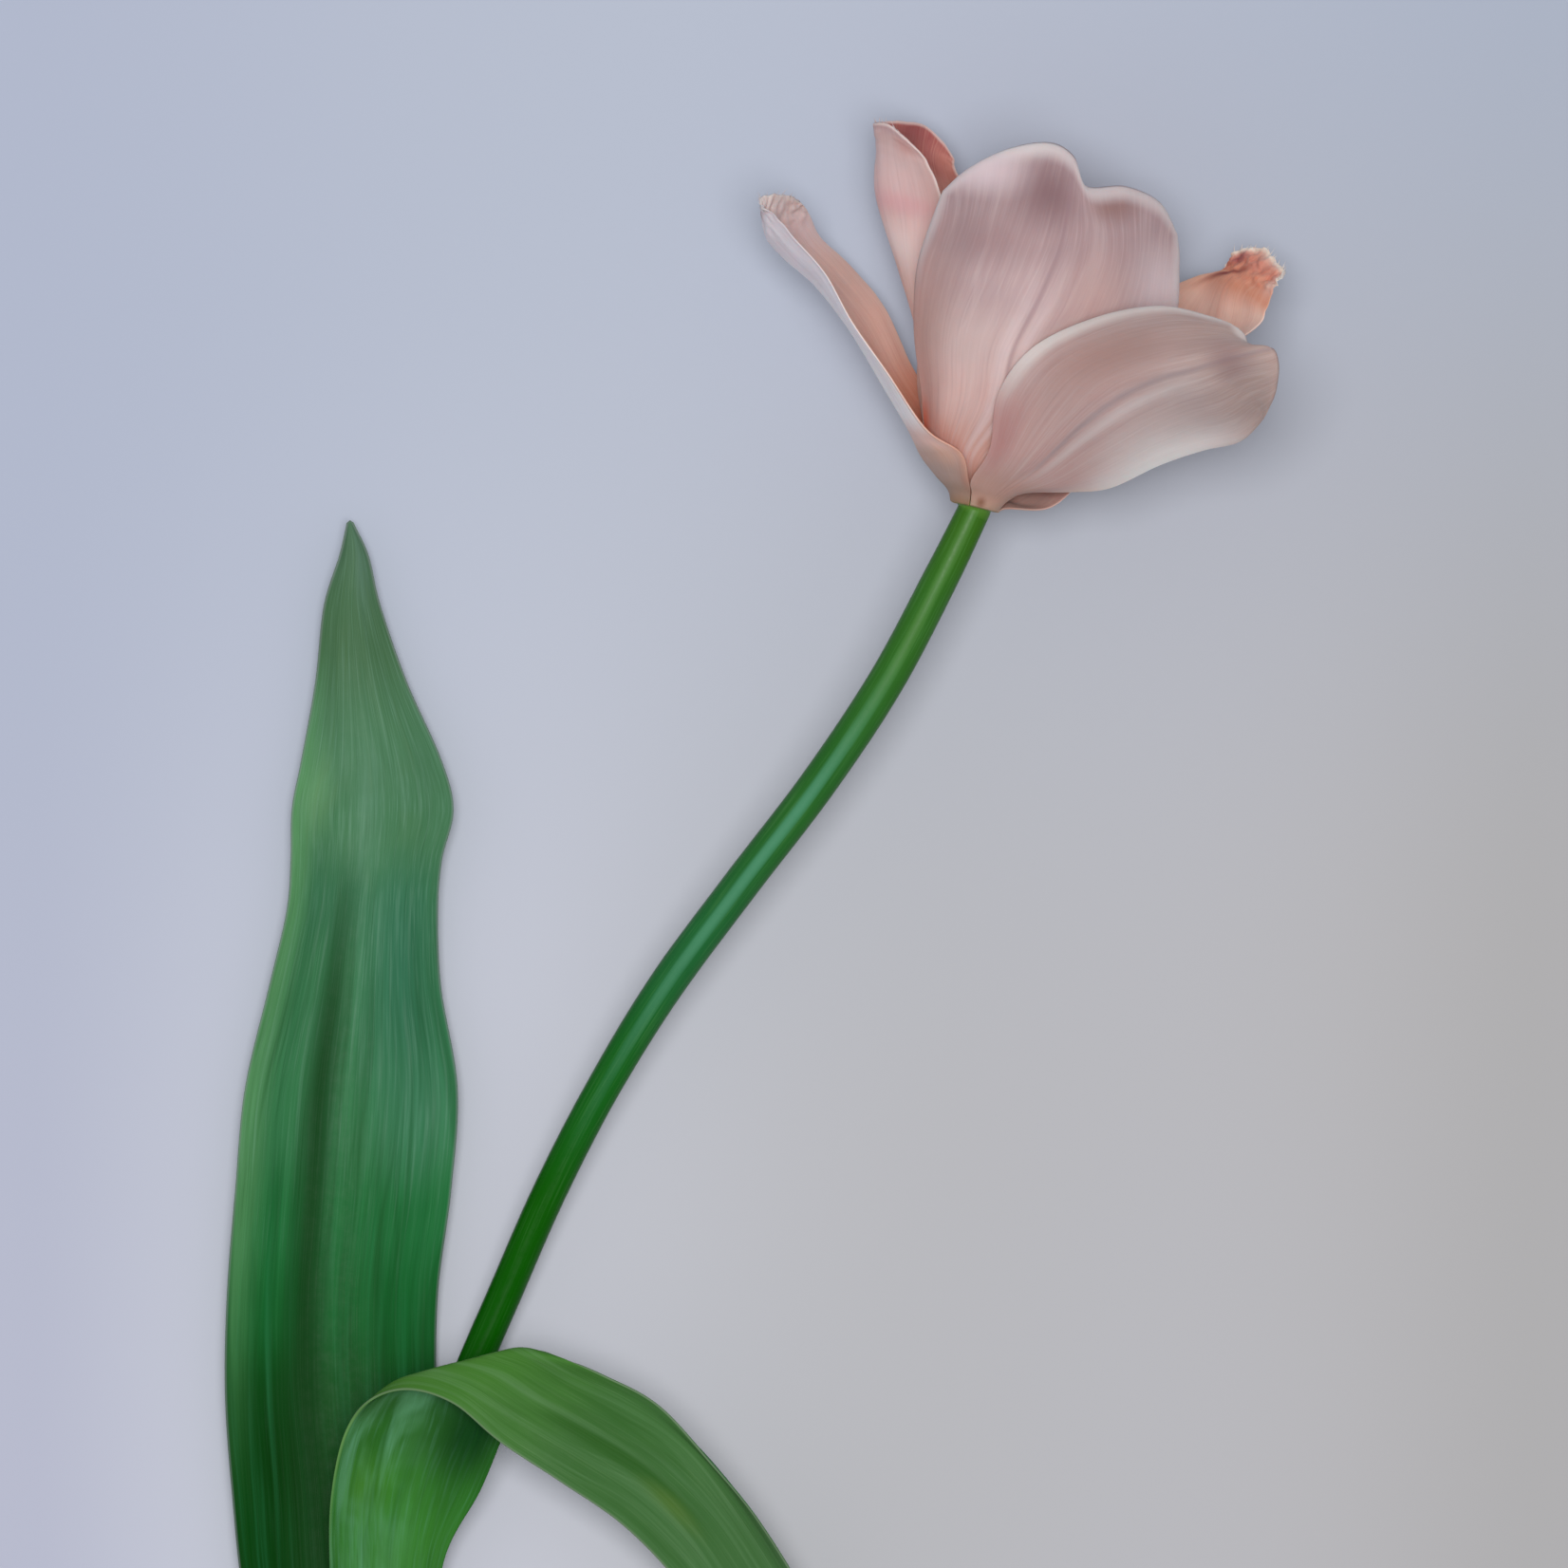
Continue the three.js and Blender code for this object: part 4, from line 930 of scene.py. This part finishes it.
def tall_leaf_skin():
    skin = Skin("tall leaf skin", 11)
    skin.base(
        {0: "6f9a5c", 0.2: "3f7a45", 0.6: "4f8455", 1: "648a5e"},
        {0: "2a5f2a", 0.2: "043802", 0.28: "04420a", 0.33: "0a4c16", 0.38: "14602a", 0.43: "216c38",
         0.48: "357649", 0.55: "38754c", 0.62: "3b7350", 0.7: "477954", 0.78: "4a7856", 0.87: "466b49",
         1: "4d6e55"})
    skin.streaks("inner", ("0c3f12", 16, 5, 0.4, 0.45, 0.8, 3, skin.over(0.8, 0.4)))
    skin.stripe("inner", "58905c", 0, 0.2, 0.85, skin.over(0.25, 0.48) * skin.over(0.88, 0.74))
    skin.patches(
        "inner",
        ("699b6c", 0.16, 0.74, 0.16, 0.07, 0.6),
        ("356f58", 0.8, 0.56, 0.35, 0.14, 0.6),
        # Painted highlight: a paler blue-green spot on the bulge of the right margin.
        ("417d5c", 0.85, 0.49, 0.25, 0.06, 0.6),
        # Painted highlight: a paler spot in the middle of the upper blade.
        ("66917a", 0.52, 0.72, 0.14, 0.12, 0.25),
        ("5a7a6a", 0.75, 0.93, 0.3, 0.08, 0.5),
        ("033003", 0.26, 0.29, 0.26, 0.1, 0.8))
    high = skin.along.ease(0.36, 0.52, 0.15, 1)
    skin.streaks(
        "inner",
        ("7fae97", 64, 14, 0.28, 0.5, 0.85, 0, skin.across.ease(0.2, 0.7, 0.5, 1) * high),
        ("8fb5a4", 130, 20, 0.2, 0.5, 0.85, 2, high),
        ("0f4214", 70, 12, 0.3, 0.5, 0.85, 4),
        ("0c4a1c", 26, 6, 0.4, 0.45, 0.8, 8, skin.over(0.62, 0.42)),
        ("5d7a48", 9, 9, 0.25, 0.5, 0.85, 6, skin.over(0.5, 0.75)),
        ("2f8050", 34, 5, 0.35, 0.45, 0.8, 10, skin.over(0.5, 0.36)),
        ("86ad98", 38, 9, 0.22, 0.5, 0.8, 12, skin.over(0.42, 0.5)))
    # A dark line down the blade near the midrib: partly the leaf's own colour, partly painted shade in its
    # channel.
    skin.stripe("inner", "083a0e", 0.4, 0.15, 0.9, skin.over(0.72, 0.5))
    skin.streaks("inner", ("0a4212", 11, 3, 0.5, 0.42, 0.7, 14, skin.over(0.66, 0.5)))
    skin.rim("inner", "76787e", 0.05, 0.5, 0.45)
    return leaf_finish(skin)


def folded_leaf_skin():
    skin = Skin("folded leaf skin", 12)
    skin.base(
        {0: "3f7f34", 0.15: "3a7c30", 0.24: "357a2a", 0.3: "2a6322", 0.36: "245626", 0.45: "2c5a30",
         1: "3c7040"},
        {0: "3d7a3a", 0.42: "44762c", 0.5: "40732c", 0.56: "3f6f30", 0.62: "396530", 0.7: "3f6a38",
         0.8: "426c3c", 0.9: "4c7042", 1: "5a7c4c"})
    skin.patches("outer", ("447a22", 0.3, 0.25, 0.25, 0.05, 0.5))
    skin.streaks(
        "outer",
        ("64a278", 8, 9, 0.5, 0.36, 0.68, 2, skin.across.ease(0.7, 0.45)),
        ("2a5c1e", 7, 14, 0.3, 0.42, 0.7, 13),
        ("6ba688", 40, 12, 0.3, 0.45, 0.85, 11))
    skin.patches(
        "outer",
        # Painted shade: the right half very dark under the part of the blade that folds over it.
        ("003010", 0.8, 0.31, 0.34, 0.12, 0.9),
        # Painted shade: a narrow dark band across the blade just short of the fold.
        ("234d14", 0.2, 0.35, 0.34, 0.045, 0.6))
    skin.streaks("outer", ("1f5a1c", 14, 5, 0.45, 0.45, 0.75, 6))
    skin.streaks("both", ("14420e", 60, 9, 0.3, 0.5, 0.85, 4))
    skin.streaks(
        "inner",
        ("2b5a1c", 12, 2.5, 0.4, 0.42, 0.75, 7, skin.over(0.5, 0.56)),
        ("6d9468", 16, 3, 0.3, 0.42, 0.75, 9),
        ("86a876", 80, 9, 0.16, 0.5, 0.85))
    # A darker line down the middle of the folded-over part: partly the midrib, partly painted shade in its
    # channel.
    skin.stripe("inner", "235212", 0.4, 0.09, 0.6, skin.over(0.55, 0.6) * skin.over(0.8, 0.66))
    skin.patches(
        "inner",
        ("5f7a2c", 0.34, 0.71, 0.1, 0.05, 0.35),
        ("4a7a40", 0.85, 0.66, 0.3, 0.12, 0.5))
    left = skin.across.ease(0, 0.3, 1, 0)
    skin.rim("outer", "6d9a58", 0.5, 1.3, 0.75, left * skin.over(0.15, 0.3))
    skin.rim("outer", "5f8f42", 1.2, 2, 0.9, left * skin.over(0.37, 0.43))
    skin.rim("inner", "7f8f78", 0.1, 0.6, 0.5)
    return leaf_finish(skin)


def stem_skin():
    skin = Skin("stem skin", 21)
    skin.colour = skin.along.ramp(
        {0: "c5d09a", 0.0006: "b9c88a", 0.0012: "3f7a30", 0.1: "164f08", 0.4: "085000", 0.5: "0b5400",
         0.58: "145c18", 0.68: "1f6030", 0.8: "266024", 0.92: "2f6420", 0.987: "356518", 0.9882: "4f7c2c",
         0.989: "7d9460", 0.9897: "95705a", 1: "b4a668"})
    around = skin.read("around")
    mask = skin.streak_mask(around, 60, 20, 0.45, 0.85, 3)
    skin.lay(mask * skin.along.ease(0.4, 0.65, 0.06, 0.2), "6fa868")
    # Painted highlight: a paler stripe along the side of the stem that faces up, where the lamps shine on it.
    painted_highlight = skin.read("facing_up").ease(0.9, 0.995)
    skin.lay(painted_highlight * skin.over(0.52, 0.74) * skin.over(0.92, 0.78), "448460")
    skin.lay(painted_highlight * skin.over(0.78, 0.9) * 0.35, "5a8c46")
    return skin.finish(roughness=0.3, bump=0.06, streak_count=40, mottle_scale=700, specular=0.08)


def pistil_skin():
    skin = Skin("pistil skin", 31)
    skin.colour = skin.along.ramp({0: "a9b070", 0.35: "b4bf78", 0.7: "a9b566", 0.8: "cfc98a", 1: "e3dba8"})
    skin.lay(skin.read("grain") * 0.6, "efe8c0")
    return skin.finish(roughness=0.5, bump=0.15, streak_count=12, mottle_scale=1500, subsurface=0.05)


def stamen_skin():
    skin = Skin("stamen skin", 41)
    skin.colour = skin.along.ramp(
        {0: "b9ad62", 0.3: "c9bb7c", 0.5: "8c6a4a", 0.53: "4a3236", 0.75: "3c272c", 1: "50383a"})
    skin.lay(skin.read("grain") * 0.85, "7a5a38")
    return skin.finish(roughness=0.75, bump=0.3, streak_count=10, mottle_scale=2500, specular=0.2)


# The bloom, leaves and stem --------------------


def petal_plans():
    """Each petal: its node, its net, whether the net's normal points inwards, and its skin.

    Then come how its margins are cut, as shares of its length and width, and the relief in metres
    that is its own.
    """
    return [
        ("petal_inner_front", INNER_FRONT, True, front_petal_skin(), dict(teeth=(9, 0.001)),
         dict(midrib_drift=0.07, lip_height=-0.0006)),
        ("petal_outer_front", OUTER_FRONT, True, spread_petal_skin(), dict(teeth=(12, 0.004)),
         dict(lip_height=-0.0005)),
        ("petal_outer_under", OUTER_UNDER, True, under_petal_skin(), dict(teeth=(10, 0.006), side=0.003), {}),
        ("petal_outer_left", OUTER_LEFT, False, left_petal_skin(),
         dict(teeth=(15, 0.008), side=0.006, bristles=14), dict(crumple_height=0.0016)),
        ("petal_inner_back", INNER_BACK, False, back_petal_skin(),
         dict(teeth=(17, 0.005), side=0.003, bristles=10, bristle_span=(0.2, 0.42)),
         dict(crumple_height=0.0008)),
        ("petal_inner_right", INNER_RIGHT, False, right_petal_skin(),
         dict(teeth=(19, 0.012), side=0.008, bristles=22, bristle_span=(0.3, 0.99)),
         dict(crumple_height=0.003)),
    ]


def make_petals(tree):
    for seed, (name, rows, plus_inner, skin, cuts, relief) in enumerate(petal_plans(), 1):
        mesh = blade_mesh(name, rows, plus_inner, columns=120, lines=104, thick=PETAL_THICK,
                          edge=PETAL_EDGE, seed=seed, **cuts)
        piece = grow(new_object("fine_" + name, mesh), tree, vein_count=38.0, vein_height=0.000009,
                     midrib_height=0.00011, midrib_width=0.026, pucker_height=0.0009,
                     bristle_length=0.0022, bristle_width=0.00012, seed=seed, material=skin, **relief)
        hand_over(piece, name)


def make_leaves(tree):
    plans = [("leaf_tall", TALL, False, tall_leaf_skin()), ("leaf_folded", FOLDED, True, folded_leaf_skin())]
    for seed, (name, rows, plus_inner, skin) in enumerate(plans, 11):
        mesh = blade_mesh(name, rows, plus_inner, columns=144, lines=250, thick=LEAF_THICK,
                          edge=LEAF_EDGE, seed=seed)
        piece = grow(new_object("fine_" + name, mesh), tree, vein_count=44.0, vein_height=0.00002,
                     midrib_height=0.00006, midrib_width=0.04, pucker_height=0.0012, pucker_across=3.0,
                     pucker_along=8.0, seed=seed, material=skin)
        hand_over(piece, name)


def make_stem(tree):
    t = np.linspace(0, 1, STEM_STEPS)
    line, radius = spline(STEM_LINE, t), np.interp(t, *zip(*STEM_RADII))
    radius[:3] -= CUT_END_BEVEL
    line = np.concatenate([line, [BLOOM + AXIS * along for along, _ in SEAT]])
    radius = np.concatenate([radius, [out for _, out in SEAT]])
    # Smoothing turns the last millimetres of the stalk gradually to the way the bloom faces.
    first, last = len(line) - TURN_FROM, len(line) - TURN_TO
    for _ in range(TURN_ROUNDS):
        line[first:last] = (line[first - 1:last - 1] + line[first:last] + line[first + 1:last + 1]) / 3
    piece = new_object("stalk", line_mesh("stalk", line, radius, np.zeros(len(line))))
    grow(piece, tree, sides=48, ridge_count=20.0, ridge_height=0.000012, material=stem_skin())
    hand_over(piece, "stem")


def make_pistil(tree):
    """A three-sided ovary turned about the bloom's axis, under a frilled stigma of three lobes."""
    along, out, lobe = spline(PISTIL_PROFILE, np.linspace(0, 1, PISTIL_STEPS)).T
    turn = np.linspace(0, 2 * np.pi, PISTIL_SIDES + 1)[:-1]
    frill = FRILL_DEPTH * np.cos(FRILL_COUNT * turn)[None, :] * smoothstep(along, 20.5, 22)[:, None]
    reach = np.maximum(out, 0.05)[:, None] * (1 + lobe[:, None] * np.cos(3 * turn)[None, :] + frill)
    side = np.cross(AXIS, UP)
    points = (BLOOM + along[:, None, None] * AXIS + (reach * np.cos(turn))[..., None] * side
              + (reach * np.sin(turn))[..., None] * UP)
    rows, sides = points.shape[:2]
    grid = np.arange(rows * sides).reshape(rows, sides)
    # The first column comes again after the last one, to close the round.
    faces = quads(np.column_stack([grid, grid[:, 0]])).tolist()
    faces += [grid[0].tolist(), grid[-1][::-1].tolist()]
    place = np.repeat(np.linspace(0, 1, rows), sides)
    mesh = new_mesh("pistil", metres(points.reshape(-1, 3)), faces, along=place)
    piece = grow(new_object("fine_pistil", mesh), tree, grain_radius=0.00016, density=6e6,
                 from_along=0.68, stretch=2.2, seed=5, material=pistil_skin())
    hand_over(piece, "pistil")


def make_stamens(stalk, dust):
    skin = stamen_skin()
    t = np.linspace(0, 1, STAMEN_STEPS)
    radius = np.interp(t, *zip(*STAMEN_RADII))
    lobe = ANTHER_LOBE * smoothstep(t, 0.54, 0.62) * smoothstep(-t, -0.99, -0.9) * MM
    for index in range(6):
        knots = [cup(along, out, FIRST_STAMEN_DEG + index * 60) for along, out in STAMEN_PATH]
        name = f"stamen_{index + 1}"
        piece = new_object("fine_" + name, line_mesh(name, spline(knots, t), radius, lobe))
        grow(piece, stalk, sides=24, ridge_count=4.0, ridge_height=0.00005, material=skin)
        grow(piece, dust, grain_radius=0.00009, density=2.2e7, from_along=0.55, seed=index + 1, material=skin)
        hand_over(piece, name)


# The stage --------------------


def make_stage():
    """A plain pale floor, whose tone changes softly from side to side and from near to far."""
    corners = [(x * FLOOR_REACH, y * FLOOR_REACH, FLOOR_LEVEL)
               for x, y in ((-1, -1), (1, -1), (1, 1), (-1, 1))]
    floor = new_object("floor", new_mesh("floor", corners, [(0, 1, 2, 3)]))
    paper = bpy.data.materials.new("pale floor")
    paper.use_nodes = True
    tree = paper.node_tree
    place = add(tree, "ShaderNodeTexCoord", None, "Object")
    x, y = (add(tree, "ShaderNodeSeparateXYZ", {0: place}, axis) for axis in "XY")
    side, height = x * 3.4 + 0.48, y - x * 0.37
    far = side.ramp(
        {0: "abb2c6", 0.3: "b3bac9", 0.55: "b2b9c9", 0.75: "b0b7c7", 1: "a5aec0"}, "B_SPLINE")
    near = side.ramp(
        {0: "b0b3c6", 0.12: "c3c6d2", 0.3: "c6c8d4", 0.45: "babbc1", 0.6: "b3b3b7", 0.75: "b4b4b9",
         0.88: "b2b1b4", 1: "a9a8a9"}, "B_SPLINE")
    shade = mix(tree, height.ease(-0.04, 0.2, 1.0, 0.0), far, near)
    for key, value in (("Base Color", shade), ("Roughness", 0.9), ("Specular IOR Level", 0.1)):
        put(tree, tree.nodes["Principled BSDF"].inputs[key], value)
    floor.data.materials.append(paper)


def area_light(name, place, size, watts, colour):
    data = bpy.data.lights.new(name, "AREA")
    data.shape, data.size, data.energy, data.color = "DISK", size, watts, colour
    light = new_object(name, data)
    light.location = place
    light.rotation_euler = (LIGHT_AIM - Vector(place)).to_track_quat("-Z", "Y").to_euler()


def light_stage():
    world = bpy.data.worlds.new("soft sky")
    world.use_nodes = True
    sky = world.node_tree.nodes["Background"]
    sky.inputs["Color"].default_value, sky.inputs["Strength"].default_value = SKY_COLOUR, SKY_STRENGTH
    bpy.context.scene.world = world
    area_light("window light", (-0.2, 0.28, 3.4), size=1.0, watts=50.0, colour=(1.0, 0.99, 0.98))
    area_light("room light", (0.3, -0.1, 3.4), size=1.0, watts=33.0, colour=(1.0, 0.985, 0.97))
    bpy.context.scene.view_settings.view_transform = "Standard"


def place_camera():
    data = bpy.data.cameras.new("camera")
    data.sensor_width, data.lens = CAMERA_SENSOR, CAMERA_LENS
    data.clip_start, data.clip_end = 0.1, 30.0
    camera = new_object("camera", data)
    camera.location = (DRAWING_ORIGIN[0] * MM, DRAWING_ORIGIN[1] * MM, CAMERA_HEIGHT)
    bpy.context.scene.camera = camera


place_camera()
light_stage()
make_stage()
blade_tree, stalk_tree, dust_tree = veined_blade(), swept_stalk(), dusted()
make_petals(blade_tree)
make_leaves(blade_tree)
make_stem(stalk_tree)
make_pistil(dust_tree)
make_stamens(stalk_tree, dust_tree)
